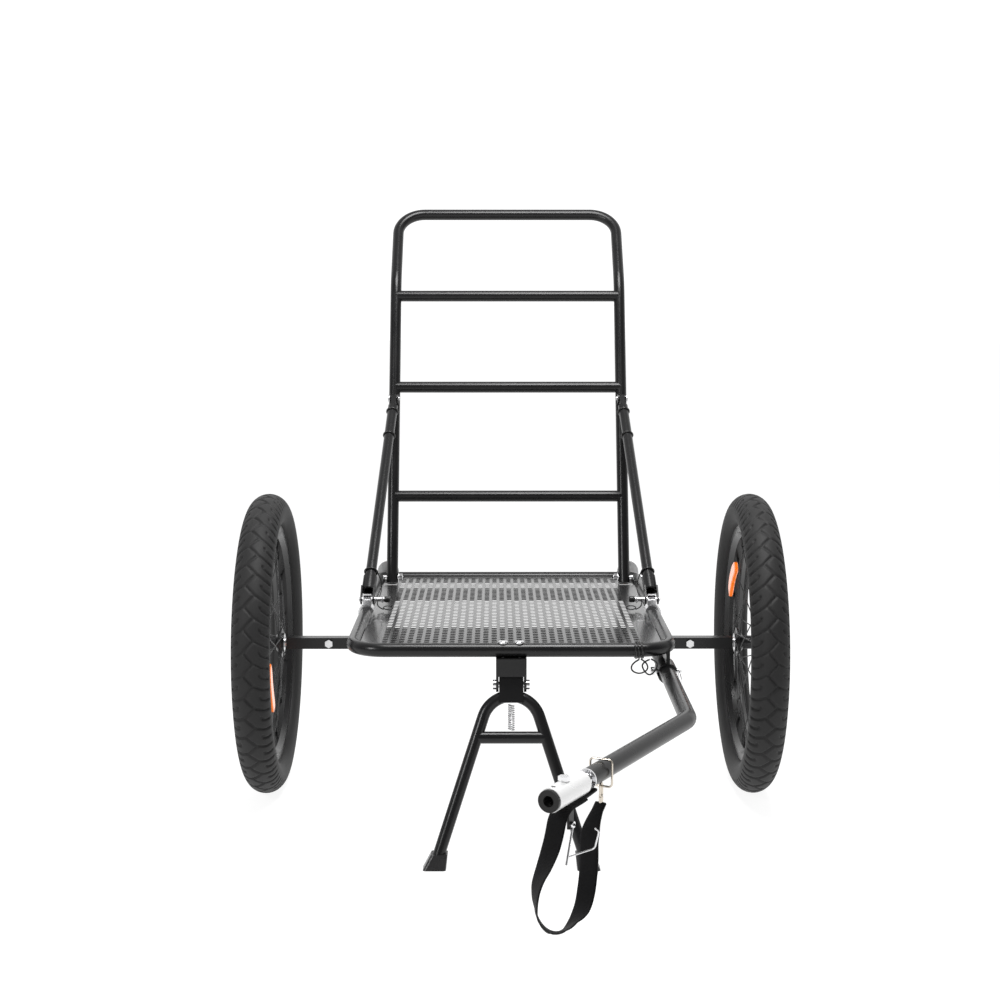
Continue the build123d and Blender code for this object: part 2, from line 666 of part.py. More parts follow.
# ---- zinc hooks on the rails, open the way the strut's foot lifts out ---------------------------
with BuildPart() as strut_clevises:
    for side in (-1, 1):
        rail = (side * rail_x, strut_foot.Y - clevis_length / 2, deck_z)
        rail_end = (side * rail_x, strut_foot.Y + clevis_length / 2, deck_z)
        rod(rail, rail_end, frame_tube_radius + clevis_skin)
        x = side * strut_foot_x
        with BuildSketch(Plane(origin=(x - clevis_width / 2, strut_foot.Y, strut_foot.Z),
                               x_dir=(0, 1, 0), z_dir=(1, 0, 0))):
            Circle(ear_radius + 1)
            with Locations((0, -(strut_foot_z - deck_z) / 2)):
                Rectangle(2 * ear_radius + 2, strut_foot_z - deck_z)
        extrude(amount=clevis_width)
    # the lower half of each saddle is left off
    box_between((-rail_x - 30, rail_x + 30), (strut_foot_y - 40, strut_foot_y + 40),
                (deck_z - 40, deck_z - 2), Mode.SUBTRACT)
    for side in (-1, 1):
        rod((side * rail_x, strut_foot.Y - 40, deck_z), (side * rail_x, strut_foot.Y + 40, deck_z),
            frame_tube_radius, Mode.SUBTRACT)
        x = side * strut_foot_x
        slot_half = strut_pin_radius + slot_gap
        with BuildSketch(Plane(origin=(x - clevis_width, strut_foot.Y, strut_foot.Z),
                               x_dir=foot_path, z_dir=(1, 0, 0))):
            Circle(slot_half)
            with Locations((15, 0)):
                Rectangle(30, 2 * slot_half)
        extrude(amount=2 * clevis_width, mode=Mode.SUBTRACT)
finish(strut_clevises, "strut_clevises")

# ---- stand bracket under the front tube ---------------------------------------------------------
stand_pivot = Vector(0, axle_y + stand_pivot_y, stand_pivot_z)
half_bracket = stand_bracket_width / 2
web_front = stand_pivot_y - stand_bracket_depth / 2
web_bottom = rail_bottom - stand_web_drop
with BuildPart() as stand_bracket:
    sheet = stand_bracket_sheet
    box_between((-half_bracket, half_bracket), (web_front, web_front + stand_bracket_depth),
                (rail_bottom - sheet, rail_bottom))
    box_between((-half_bracket, half_bracket), (web_front, web_front + sheet), (web_bottom, rail_bottom))
    for face in (-1, 1):
        x = face * (half_bracket - sheet)
        with BuildSketch(Plane(origin=(x, stand_pivot.Y, stand_pivot.Z), x_dir=(0, 1, 0),
                               z_dir=(1, 0, 0)) if face > 0 else
                         Plane(origin=(x, stand_pivot.Y, stand_pivot.Z), x_dir=(0, -1, 0),
                               z_dir=(-1, 0, 0))):
            Circle(cheek_radius)
            rise = rail_bottom - stand_pivot_z
            with Locations((0, rise / 2)):
                Rectangle(2 * cheek_radius, rise)
        extrude(amount=sheet)
    for x in (-deck_bolt_spacing / 2, deck_bolt_spacing / 2):
        rod((x, axle_y - deck_front, rail_bottom - 10), (x, axle_y - deck_front, rail_bottom + 10),
            deck_bolt_radius, Mode.SUBTRACT)
    rod((-half_bracket - 5, stand_pivot.Y, stand_pivot.Z), (half_bracket + 5, stand_pivot.Y, stand_pivot.Z),
        stand_bolt_radius, Mode.SUBTRACT)
finish(stand_bracket, "stand_bracket")

with BuildPart() as stand_bolts:
    for x in (-deck_bolt_spacing / 2, deck_bolt_spacing / 2):
        y = axle_y - deck_front
        deck_top = deck_z + frame_tube_radius
        under = rail_bottom - stand_bracket_sheet
        rod((x, y, under - 7), (x, y, deck_top + 1), deck_bolt_radius)
        hexagon((x, y, under), (x, y, under - 5), 10.0)
        rod((x, y, deck_top), (x, y, deck_top + deck_bolt_crown), deck_bolt_head)
    fillet(stand_bolts.edges().group_by(Axis.Z)[-1], 0.7 * deck_bolt_crown)
    rod((-half_bracket - 1, stand_pivot.Y, stand_pivot.Z), (half_bracket + 1, stand_pivot.Y, stand_pivot.Z),
        stand_bolt_radius)
    for face in (-1, 1):
        rod((face * half_bracket, stand_pivot.Y, stand_pivot.Z),
            (face * (half_bracket + 5), stand_pivot.Y, stand_pivot.Z), stand_bolt_radius + 3)
finish(stand_bolts, "stand_bolts")

# ---- prop stand, drawn in the leaning plane of its legs ------------------------------------------
tilt = radians(stand_lean)
stand_up = Vector(0, sin(tilt), cos(tilt))
stand_out = Vector(0, -cos(tilt), sin(tilt))
stand_plane = Plane(origin=stand_pivot, x_dir=(1, 0, 0), z_dir=stand_out)
splay = tan(radians(stand_splay))


def leg_half_width(drop):
    """Leg centre from the middle, at a distance below the pivot along the leg plane."""
    return stand_width_at[1] + splay * (drop - stand_width_at[0])


leg_end_drop = (stand_pivot_z - stand_leg_end) / cos(tilt)
apex = stand_width_at[1] / splay - stand_width_at[0]
leg_path_points = [(-leg_half_width(leg_end_drop), -leg_end_drop), (0, apex),
                   (leg_half_width(leg_end_drop), -leg_end_drop)]
with BuildPart() as stand_solid:
    with BuildLine(stand_plane):
        leg_path = FilletPolyline(*leg_path_points, radius=stand_bend)
    sweep_tube(leg_path, stand_tube_radius)


def in_stand(x, rise, out=0.0):
    """A point of the stand: across, up along its plane from the pivot, and out of it."""
    return (stand_pivot + Vector(x, 0, 0) + stand_up * rise + stand_out * out)


with BuildPart() as stand_frame:
    with BuildLine(stand_plane):
        leg_path = FilletPolyline(*leg_path_points, radius=stand_bend)
    sweep_tube(leg_path, stand_tube_radius, tube_thickness)
    cross_half = leg_half_width(stand_crossbar_drop)
    with BuildPart(mode=Mode.PRIVATE) as stand_crossbar:
        rod(in_stand(-cross_half, -stand_crossbar_drop), in_stand(cross_half, -stand_crossbar_drop),
            stand_tube_radius)
        rod(in_stand(-cross_half, -stand_crossbar_drop), in_stand(cross_half, -stand_crossbar_drop),
            stand_tube_radius - tube_thickness, Mode.SUBTRACT)
        add(stand_solid.part, mode=Mode.SUBTRACT)
    add(stand_crossbar.part)
finish(stand_frame, "stand_frame")

with BuildPart() as stand_hub:
    middle_rise = (stand_hub_top - stand_hub_drop) / 2
    height = stand_hub_top + stand_hub_drop
    with Locations(Plane(origin=in_stand(0, middle_rise), x_dir=(1, 0, 0), z_dir=stand_out)):
        Box(stand_hub_width, height, stand_hub_depth)
        with Locations((0, 0, -stand_bracket_sheet / 2)):
            Box(stand_hub_width - 2 * stand_bracket_sheet, height, stand_hub_depth - stand_bracket_sheet,
                mode=Mode.SUBTRACT)
    add(stand_solid.part, mode=Mode.SUBTRACT)
    rod((-half_bracket, stand_pivot.Y, stand_pivot.Z), (half_bracket, stand_pivot.Y, stand_pivot.Z),
        stand_bolt_radius + running_gap, Mode.SUBTRACT)
finish(stand_hub, "stand_hub")

with BuildPart() as stand_feet:
    for side in (-1, 1):
        top_drop = (stand_pivot_z - foot_height) / cos(tilt)
        floor_drop = stand_pivot_z / cos(tilt)
        base = (side * leg_half_width(floor_drop), axle_y + stand_pivot_y - stand_pivot_z * tan(tilt))
        crown = (side * leg_half_width(top_drop),
                 axle_y + stand_pivot_y - (stand_pivot_z - foot_height) * tan(tilt))
        with BuildSketch(Plane.XY):
            with Locations(base):
                RectangleRounded(foot_width, foot_depth, 5)
        with BuildSketch(Plane.XY.offset(foot_height)):
            with Locations(crown):
                RectangleRounded(foot_top, foot_top, 5)
        loft()
    add(stand_solid.part, mode=Mode.SUBTRACT)
finish(stand_feet, "stand_feet")

with BuildPart() as stand_spring:
    spring_low = -stand_crossbar_drop + stand_tube_radius
    spring_high = -stand_hub_drop
    rod(in_stand(0, spring_low), in_stand(0, spring_high), spring_radius)
    rod(in_stand(0, spring_low), in_stand(0, spring_high), spring_bore, Mode.SUBTRACT)
finish(stand_spring, "stand_spring")

# ---- drawbar receivers under the right rail ------------------------------------------------------
receiver_radius = drawbar_radius + receiver_wall
lock_y = axle_y - front_receiver + lock_pin_set
with BuildPart() as drawbar_receivers:
    for front in (front_receiver, rear_receiver):
        box_between((drawbar_x - receiver_web / 2, drawbar_x + receiver_web / 2),
                    (-front, -front + receiver_length), (drawbar_z, deck_z))
        rod((drawbar_x, axle_y - front, drawbar_z),
            (drawbar_x, axle_y - front + receiver_length, drawbar_z),
            receiver_radius)
    add(deck_tube_solid.part, mode=Mode.SUBTRACT)
    rod((drawbar_x, axle_y - front_receiver - 5, drawbar_z), (drawbar_x, axle_y, drawbar_z),
        drawbar_radius + running_gap, Mode.SUBTRACT)
    # slots for the lock pin, open at the front
    slot = lock_pin_radius + slot_gap
    rod((drawbar_x - 30, lock_y, drawbar_z), (drawbar_x + 30, lock_y, drawbar_z), slot, Mode.SUBTRACT)
    box_between((drawbar_x - 30, drawbar_x + 30), (-front_receiver - 5, -front_receiver + lock_pin_set),
                (drawbar_z - slot, drawbar_z + slot), Mode.SUBTRACT)
finish(drawbar_receivers, "drawbar_receivers")

# ---- drawbar: straight under the rail, then angled in to the middle ------------------------------
tube_end = on_arm(tube_end_place)
drawbar_points = [(drawbar_x, axle_y - drawbar_rear, drawbar_z),
                  (drawbar_x, axle_y - drawbar_bend_y, drawbar_z), tube_end]
with BuildPart() as drawbar_tube:
    with BuildLine():
        drawbar_path = FilletPolyline(*drawbar_points, radius=drawbar_bend)
    sweep_tube(drawbar_path, drawbar_radius, drawbar_wall)
    rod((drawbar_x - 30, lock_y, drawbar_z), (drawbar_x + 30, lock_y, drawbar_z),
        lock_pin_radius + running_gap, Mode.SUBTRACT)
finish(drawbar_tube, "drawbar_tube")

with BuildPart() as lock_pin:
    rod((drawbar_x - receiver_radius - 3, lock_y, drawbar_z),
        (drawbar_x + receiver_radius + 7, lock_y, drawbar_z), lock_pin_radius)
    rod((drawbar_x - receiver_radius - 9, lock_y, drawbar_z),
        (drawbar_x - receiver_radius - 3, lock_y, drawbar_z), lock_pin_radius + 2.5)
finish(lock_pin, "lock_pin")

# ---- coupler: socket turning in the tube's end, ball-ended link, sleeve and bush ------------------
ball = on_arm(ball_place)
with BuildPart() as coupler_socket:
    rod(on_arm(tube_end_place + socket_length - 2.5), on_arm(tube_end_place),
        drawbar_radius - drawbar_wall - running_gap)
    rod(on_arm(tube_end_place - 0.1), on_arm(socket_front), drawbar_radius + 0.8)
    rod(on_arm(tube_end_place + 0.5), on_arm(tube_end_place - 0.2),
        drawbar_radius - drawbar_wall - running_gap)
    with Locations(ball):
        Sphere(ball_radius + ball_gap, mode=Mode.SUBTRACT)
finish(coupler_socket, "coupler_socket")

link_front = coupler_bolt_place - 12
sleeve_bore = sleeve_radius - coupler_sleeve_wall
with BuildPart() as coupler_link:
    with Locations(ball):
        Sphere(ball_radius)
    rod(ball, on_arm(sleeve_rear), ball_neck_radius)
    rod(on_arm(link_head_rear), on_arm(sleeve_rear), link_head_radius)
    rod(on_arm(sleeve_rear), on_arm(link_front), sleeve_bore)
    bolt_top = on_arm(coupler_bolt_place, -20)
    bolt_low = on_arm(coupler_bolt_place, 20)
    rod(bolt_low, bolt_top, coupler_bolt_radius, Mode.SUBTRACT)
finish(coupler_link, "coupler_link")

with BuildPart() as coupler_sleeve:
    rod(on_arm(sleeve_rear), on_arm(sleeve_front), sleeve_radius)
    rod(on_arm(sleeve_rear), on_arm(sleeve_front), sleeve_bore, Mode.SUBTRACT)
    rod(bolt_low, bolt_top, coupler_bolt_radius, Mode.SUBTRACT)
    hole_low = on_arm(hitch_hole_place, 20)
    hole_top = on_arm(hitch_hole_place, -20)
    rod(hole_low, hole_top, hitch_hole_radius, Mode.SUBTRACT)
finish(coupler_sleeve, "coupler_sleeve")

with BuildPart() as coupler_bush:
    rod(on_arm(bush_length), on_arm(0), bush_radius)
    rod(on_arm(link_front), on_arm(bush_length), sleeve_bore)
    rod(on_arm(link_front), on_arm(0), bush_bore, Mode.SUBTRACT)
    rod(hole_low, hole_top, hitch_hole_radius, Mode.SUBTRACT)
finish(coupler_bush, "coupler_bush")

with BuildPart() as coupler_bolt:
    rod(on_arm(coupler_bolt_place, sleeve_radius - 0.5),
        on_arm(coupler_bolt_place, -sleeve_radius - 1), coupler_bolt_radius)
    hexagon(on_arm(coupler_bolt_place, -sleeve_radius - 0.1),
            on_arm(coupler_bolt_place, -sleeve_radius - 5.5), 13.0)
finish(coupler_bolt, "coupler_bolt")

# ---- wire ring round the drawbar, snap hook and safety strap ---------------------------------------
ring_top = drawbar_radius + ring_wire + 0.1
ring_bottom = -(drawbar_radius + ring_wire + ring_hang)
ring_plane = Plane(origin=on_arm(ring_place), x_dir=arm_side, z_dir=arm)
ring_rise = 1 if ring_plane.y_dir.Z > 0 else -1
with BuildPart() as strap_ring:
    with BuildLine(ring_plane):
        ring_path = FilletPolyline((-ring_half_width, ring_rise * ring_bottom),
                                   (ring_half_width, ring_rise * ring_bottom),
                                   (ring_half_width, ring_rise * ring_top),
                                   (-ring_half_width, ring_rise * ring_top), radius=4.0, close=True)
    sweep_tube(ring_path, ring_wire)
finish(strap_ring, "strap_ring")

# the strap hangs in the upright plane of the drawbar's angled run: places behind the mouth, heights
strap_route = [(121, 266.4), (76, 263.3), (28, 265.0), (13, 229), (-10, 205), (-33, 187), (-35, 158),
               (-10, 130), (26, 111), (66, 107), (97, 118), (110, 146), (115, 178), (113, 206),
               (128, 228), (148, 241)]
strap_radii = []
for before, corner, after in zip(strap_route, strap_route[1:], strap_route[2:]):
    first = (corner[0] - before[0], corner[1] - before[1])
    last = (after[0] - corner[0], after[1] - corner[1])
    turn = abs(Vector(*first).get_angle(Vector(*last)))
    short = min(hypot(*first), hypot(*last))
    strap_radii.append(0.45 * short / tan(radians(turn) / 2))
strap_plane = Plane(origin=(mouth.X, mouth.Y, 0), x_dir=(-arm),
                    z_dir=(-arm).cross(Vector(0, 0, 1)))
with BuildPart() as safety_strap:
    with BuildSketch(strap_plane):
        with BuildLine():
            strap_path = FilletPolyline(*strap_route, radius=strap_radii)
        trace(line_width=strap_thickness)
    extrude(amount=strap_width / 2, both=True)
finish(safety_strap, "safety_strap")

hook_half = ring_wire + hook_wire + hook_gap
hook_z = drawbar_z + ring_bottom + hook_half
hook_low = hook_z - hook_length
gate_top = hook_z - hook_half - 1.2
gate_low = hook_low + hook_half
with BuildPart() as snap_hook:
    with BuildLine(strap_plane):
        hook_path = FilletPolyline((ring_place - hook_half, gate_top), (ring_place - hook_half, hook_z),
                                   (ring_place + hook_half, hook_z), (ring_place + hook_half, hook_low),
                                   (ring_place - hook_half, hook_low),
                                   (ring_place - hook_half, gate_low), radius=hook_half - 0.1)
    sweep_tube(hook_path, hook_wire)
    rod(on_arm(ring_place, drawbar_z - hook_low), on_arm(ring_place, drawbar_z - strap_route[-1][1]),
        hook_barrel)
    add(safety_strap.part, mode=Mode.SUBTRACT)
finish(snap_hook, "snap_hook")

with BuildPart() as snap_gate:
    gate_place = ring_place - hook_half
    rod(on_arm(gate_place, drawbar_z - gate_low - gate_room),
        on_arm(gate_place, drawbar_z - gate_top + hook_gap), gate_wire)
finish(snap_gate, "snap_gate")

# ---- hitch pin that hangs from a riveted tab under the strap ----------------------------------------
tab_top = strap_route[1][1]
rivet_drops = (drawbar_z - tab_top + 6, drawbar_z - tab_top + tab_length - 5)
eye_side = tab_thickness / 2 + end_gap
pin_eye = 2 * (hitch_pin_radius + pin_eye_rim)
eye_drop = rivet_drops[1]
eye_middle = eye_side + pin_eye / 2
with BuildPart() as hitch_tab:
    with Locations(Plane(origin=on_arm(tab_place, drawbar_z - tab_top + tab_length / 2), x_dir=-arm,
                         z_dir=arm_side)):
        Box(tab_width, tab_length, tab_thickness)
    add(safety_strap.part, mode=Mode.SUBTRACT)
    for drop, reach in zip(rivet_drops, (tab_thickness / 2 + 1, eye_side + pin_eye + 1)):
        rod(on_arm(tab_place, drop, -tab_thickness / 2 - 1), on_arm(tab_place, drop, reach), rivet_radius)
finish(hitch_tab, "hitch_tab")

pin_foot = on_arm(tab_place - pin_swing, eye_drop + pin_length, eye_middle)
with BuildPart() as hitch_pin:
    rod(on_arm(tab_place, eye_drop, eye_side), on_arm(tab_place, eye_drop, eye_side + pin_eye),
        pin_eye_radius)
    rod(on_arm(tab_place, eye_drop, eye_middle), pin_foot, hitch_pin_radius)
    rod(on_arm(tab_place, eye_drop, 0), on_arm(tab_place, eye_drop, eye_side + pin_eye + 1),
        rivet_radius + running_gap, Mode.SUBTRACT)
finish(hitch_pin, "hitch_pin")

pin_axis = (on_arm(tab_place, eye_drop, eye_middle) - pin_foot).normalized()
bail_foot = pin_foot + pin_axis * bail_rise
with BuildPart() as hitch_bail:
    with BuildLine():
        bail_path = FilletPolyline(bail_foot + pin_axis.cross(arm_side) * hitch_pin_radius,
                                   bail_foot + Vector(33, 0, 11), bail_foot + Vector(38, 0, 32),
                                   bail_foot + Vector(33, 0, 36), radius=[7, 3])
    sweep_tube(bail_path, bail_wire)
    add(hitch_pin.part, mode=Mode.SUBTRACT)
finish(hitch_bail, "hitch_bail")

all_names = sorted(os.listdir("parts"))
print(len(all_names), "nodes; axle", round(axle_y, 3), "strut hinge", strut_top, "ball", ball,
      "strut ratio", round(strut_turn - 1, 5), "pin eye", on_arm(tab_place, eye_drop, eye_middle),
      "gate", on_arm(gate_place, drawbar_z - gate_low - gate_room - gate_wire), "arm", arm)
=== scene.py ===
from math import cos, pi, radians, sin

import bmesh
import bpy
import numpy as np
from mathutils import Matrix, Vector


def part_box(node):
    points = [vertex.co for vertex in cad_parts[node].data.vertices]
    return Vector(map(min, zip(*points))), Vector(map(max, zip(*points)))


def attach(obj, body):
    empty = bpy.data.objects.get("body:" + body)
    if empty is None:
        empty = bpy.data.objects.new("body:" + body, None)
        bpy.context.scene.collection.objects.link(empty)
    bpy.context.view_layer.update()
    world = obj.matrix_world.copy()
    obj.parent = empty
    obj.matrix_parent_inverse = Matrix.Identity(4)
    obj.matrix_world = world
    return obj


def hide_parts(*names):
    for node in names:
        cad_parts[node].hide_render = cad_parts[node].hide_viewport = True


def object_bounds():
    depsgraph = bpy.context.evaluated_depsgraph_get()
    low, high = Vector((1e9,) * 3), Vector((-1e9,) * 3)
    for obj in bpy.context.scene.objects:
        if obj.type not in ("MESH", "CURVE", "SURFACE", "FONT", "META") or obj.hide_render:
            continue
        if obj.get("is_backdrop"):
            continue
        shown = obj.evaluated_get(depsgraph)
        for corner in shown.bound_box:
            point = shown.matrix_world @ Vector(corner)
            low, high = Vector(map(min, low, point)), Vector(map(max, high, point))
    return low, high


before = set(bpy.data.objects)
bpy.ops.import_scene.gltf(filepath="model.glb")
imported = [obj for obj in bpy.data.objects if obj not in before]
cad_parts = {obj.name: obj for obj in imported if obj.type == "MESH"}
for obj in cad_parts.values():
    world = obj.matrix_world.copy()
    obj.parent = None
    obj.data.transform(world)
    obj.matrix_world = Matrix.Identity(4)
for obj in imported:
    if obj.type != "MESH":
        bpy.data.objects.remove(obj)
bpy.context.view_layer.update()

# Camera. It stands in front of the trailer, a little to the left of its middle and above the
# backrest's waist, and looks slightly down. The wheel axle is the place that depths are counted from.
hub_low, hub_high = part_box("hub_right")
axle_y = (hub_low[1] + hub_high[1]) / 2
axle_z = (hub_low[2] + hub_high[2]) / 2
camera = bpy.data.objects.new("studio_camera", bpy.data.cameras.new("studio_camera"))
camera.data.lens = 59.9
camera.data.sensor_width = 36.0
camera.location = (-0.0244, axle_y - 2.917, 0.880)
camera.rotation_euler = (radians(90.0 - 7.02), 0.0, -0.0026)
bpy.context.collection.objects.link(camera)
bpy.context.scene.camera = camera

# Stage. A white floor that runs out of sight, a room that is bright behind the trailer and darker
# beside the camera, so that black paint stays black, and two soft lamps, overhead and to the left.
floor_mesh = bpy.data.meshes.new("studio_floor")
floor_reach = 30
floor_corners = [(-floor_reach, -floor_reach, 0), (floor_reach, -floor_reach, 0),
                 (floor_reach, floor_reach, 0), (-floor_reach, floor_reach, 0)]
floor_mesh.from_pydata(floor_corners, [], [(0, 1, 2, 3)])
floor = bpy.data.objects.new("studio_floor", floor_mesh)
bpy.context.collection.objects.link(floor)
floor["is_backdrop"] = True
floor_paint = bpy.data.materials.new("white_floor")
floor_paint.use_nodes = True
floor_shader = floor_paint.node_tree.nodes["Principled BSDF"]
floor_shader.inputs["Base Color"].default_value = (0.22, 0.22, 0.22, 1)
floor_shader.inputs["Roughness"].default_value = 1.0
floor_shader.inputs["Specular IOR Level"].default_value = 0.0
floor_shader.inputs["Emission Color"].default_value = (1, 1, 1, 1)
floor_shader.inputs["Emission Strength"].default_value = 0.90
floor_mesh.materials.append(floor_paint)
world = bpy.data.worlds.new("white_room")
world.use_nodes = True
room = world.node_tree
room_place = room.nodes.new("ShaderNodeTexCoord")
room_split = room.nodes.new("ShaderNodeSeparateXYZ")
room_light = room.nodes.new("ShaderNodeMapRange")
room_light.inputs["From Min"].default_value = -0.35
room_light.inputs["From Max"].default_value = 0.85
room_light.inputs["To Min"].default_value = 0.20
room_light.inputs["To Max"].default_value = 1.15
room_seen = room.nodes.new("ShaderNodeLightPath")
room_most = room.nodes.new("ShaderNodeMath")
room_most.operation = "MAXIMUM"
room.links.new(room_place.outputs["Generated"], room_split.inputs["Vector"])
room.links.new(room_split.outputs["Y"], room_light.inputs["Value"])
room.links.new(room_light.outputs["Result"], room_most.inputs[0])
room.links.new(room_seen.outputs["Is Camera Ray"], room_most.inputs[1])
room.links.new(room_most.outputs["Value"], room.nodes["Background"].inputs["Strength"])
room.nodes["Background"].inputs["Color"].default_value = (1.0, 1.0, 1.0, 1)
bpy.context.scene.world = world
bpy.context.scene.view_settings.view_transform = "Standard"
for lamp_name, place, aim, size, power in (
        ("top_lamp", (0.2, -0.3, 2.6), (0, 0.1, 0.2), 1.1, 60.0),
        ("side_lamp", (-2.4, -2.4, 2.0), (0, 0, 0.4), 0.9, 42.0)):
    lamp = bpy.data.objects.new(lamp_name, bpy.data.lights.new(lamp_name, "AREA"))
    lamp.data.size = size
    lamp.data.energy = power
    lamp.location = place
    lamp.rotation_euler = (Vector(aim) - Vector(place)).to_track_quat("-Z", "Y").to_euler()
    bpy.context.collection.objects.link(lamp)

# Safety strap. A limp black webbing of woven polyester, 25 mm wide. It is stitched round the
# drawbar under the ring, hangs down in one loop under the coupler and comes up to the snap hook.
strap_width = 0.025
strap_thickness = 0.002
arm = Vector((-0.478693, -0.877982, 0.0))
arm_side = Vector((0.877982, -0.478693, 0.0))
mouth = Vector((0.038, axle_y - 1.0, 0.283))
strap_places = [(121, 266.4), (76, 263.3), (28, 265.0), (13, 229), (-10, 205), (-33, 187), (-35, 158),
                (-10, 130), (26, 111), (66, 107), (97, 118), (110, 146), (115, 178), (113, 206),
                (128, 228), (148, 241)]
strap_twists = [0, 0, 0, 4, 20, 42, 57, 30, -18, -34, -12, 0, 0, 0, 0, 0]


def on_arm(place, height, across=0.0):
    """A point behind the coupler's mouth, in metres, at a height above the floor."""
    point = mouth - arm * place + arm_side * across
    return Vector((point.x, point.y, height))


def mesh_piece(name, points, faces, smooth=True):
    """A new mesh object, linked to the scene."""
    mesh = bpy.data.meshes.new(name)
    mesh.from_pydata([tuple(p) for p in points], [], faces)
    mesh.validate()
    if smooth:
        mesh.polygons.foreach_set("use_smooth", [True] * len(mesh.polygons))
    piece = bpy.data.objects.new(name, mesh)
    bpy.context.collection.objects.link(piece)
    return piece


def face_outwards(piece):
    """Turn every face of a closed mesh outwards."""
    shaper = bmesh.new()
    shaper.from_mesh(piece.data)
    bmesh.ops.recalc_face_normals(shaper, faces=shaper.faces)
    shaper.to_mesh(piece.data)
    shaper.free()


def smooth_line(name, points, detail=14):
    """Points along the smooth curve that hangs from these ones."""
    curve = bpy.data.curves.new(name, "CURVE")
    curve.dimensions = "3D"
    spline = curve.splines.new("NURBS")
    spline.points.add(len(points) - 1)
    for control, point in zip(spline.points, points):
        control.co = (*point, 1.0)
    spline.order_u = 3
    spline.use_endpoint_u = True
    spline.resolution_u = detail
    holder = bpy.data.objects.new(name, curve)
    line = bpy.data.meshes.new_from_object(holder)
    found = [v.co.copy() for v in line.vertices]
    bpy.data.objects.remove(holder)
    return found


last_run_place = 0.085
stitched_from_height = 0.160
stitched_thickness_share = 2.1
fold_from_height = 0.212
fold_run = 0.022
fold_narrowing = 0.40


def strap_size_at(point):
    """Width and thickness: doubled and stitched on the last run, folded narrow at the hook."""
    behind = (mouth - point).dot(arm)
    if behind < last_run_place:
        return 1.0, 1.0
    folded = min(1.0, max(0.0, (point.z - fold_from_height) / fold_run))
    thickness = stitched_thickness_share if point.z > stitched_from_height else 1.0
    return 1.0 - fold_narrowing * folded, thickness


strap_line = smooth_line("strap_line", [on_arm(p / 1000, h / 1000) for p, h in strap_places])
strap_points, strap_faces = [], []
across_count = 10
for index, point in enumerate(strap_line):
    ahead = strap_line[min(index + 1, len(strap_line) - 1)] - strap_line[max(index - 1, 0)]
    ahead.normalize()
    along_route = index / (len(strap_line) - 1) * (len(strap_places) - 1)
    twist = radians(np.interp(along_route, range(len(strap_twists)), strap_twists))
    wide = Matrix.Rotation(twist, 3, ahead) @ arm_side
    normal = ahead.cross(wide)
    width_share, thickness_share = strap_size_at(point)
    for face in (1, -1):
        for step in range(across_count + 1):
            share = 2 * step / across_count - 1
            edge = 1 - 0.35 * abs(share) ** 6
            strap_points.append(point + wide * (share * width_share * strap_width / 2)
                                + normal * (face * edge * thickness_share * strap_thickness / 2))
row = 2 * (across_count + 1)
for index in range(len(strap_line) - 1):
    a, b = index * row, (index + 1) * row
    for step in range(across_count):
        strap_faces.append((a + step, a + step + 1, b + step + 1, b + step))
        low = across_count + 1 + step
        strap_faces.append((a + low + 1, a + low, b + low, b + low + 1))
    for left, right in ((0, across_count + 1), (across_count, row - 1)):
        strap_faces.append((a + left, b + left, b + right, a + right))
for base in (0, (len(strap_line) - 1) * row):
    strap_faces.append([base + s for s in range(across_count + 1)]
                       + [base + row - 1 - s for s in range(across_count + 1)])
safety_strap = mesh_piece("strap_webbing", strap_points, strap_faces)
face_outwards(safety_strap)


def new_material(name, colour, roughness, metallic=0.0):
    """A named material with its steady values on the shader's own sockets."""
    material = bpy.data.materials.new(name)
    material.use_nodes = True
    shader = material.node_tree.nodes["Principled BSDF"]
    shader.inputs["Base Color"].default_value = (*colour, 1)
    shader.inputs["Roughness"].default_value = roughness
    shader.inputs["Metallic"].default_value = metallic
    return material, material.node_tree, shader


webbing, tree, shader = new_material("black_webbing", (0.0045, 0.0045, 0.005), 0.62)
shader.inputs["Sheen Weight"].default_value = 0.04
shader.inputs["Specular IOR Level"].default_value = 0.10
place = tree.nodes.new("ShaderNodeTexCoord")
ribs = tree.nodes.new("ShaderNodeTexWave")
ribs.wave_type = "BANDS"
ribs.bands_direction = "Z"
ribs.inputs["Scale"].default_value = 260.0
ribs.inputs["Distortion"].default_value = 0.6
bump = tree.nodes.new("ShaderNodeBump")
bump.inputs["Strength"].default_value = 0.35
bump.inputs["Distance"].default_value = 0.0006
tree.links.new(place.outputs["Object"], ribs.inputs["Vector"])
tree.links.new(ribs.outputs["Fac"], bump.inputs["Height"])
tree.links.new(bump.outputs["Normal"], shader.inputs["Normal"])
safety_strap.data.materials.append(webbing)
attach(safety_strap, "drawbar")
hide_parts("safety_strap")

# Painted steel. All the frame's tubes and brackets are welded mild steel under a black satin
# powder coat, with the coat's fine orange peel and a little dust.
peel = bpy.data.node_groups.new("coat_texture", "ShaderNodeTree")
peel.interface.new_socket("Dust", in_out="INPUT", socket_type="NodeSocketFloat")
peel.interface.new_socket("Peel size", in_out="INPUT", socket_type="NodeSocketFloat")
peel.interface.new_socket("Base", in_out="INPUT", socket_type="NodeSocketColor")
peel.interface.new_socket("Colour", in_out="OUTPUT", socket_type="NodeSocketColor")
peel.interface.new_socket("Roughness", in_out="OUTPUT", socket_type="NodeSocketFloat")
peel.interface.new_socket("Height", in_out="OUTPUT", socket_type="NodeSocketFloat")
group_in = peel.nodes.new("NodeGroupInput")
group_out = peel.nodes.new("NodeGroupOutput")
place = peel.nodes.new("ShaderNodeTexCoord")
clouds = peel.nodes.new("ShaderNodeTexNoise")
clouds.inputs["Scale"].default_value = 14.0
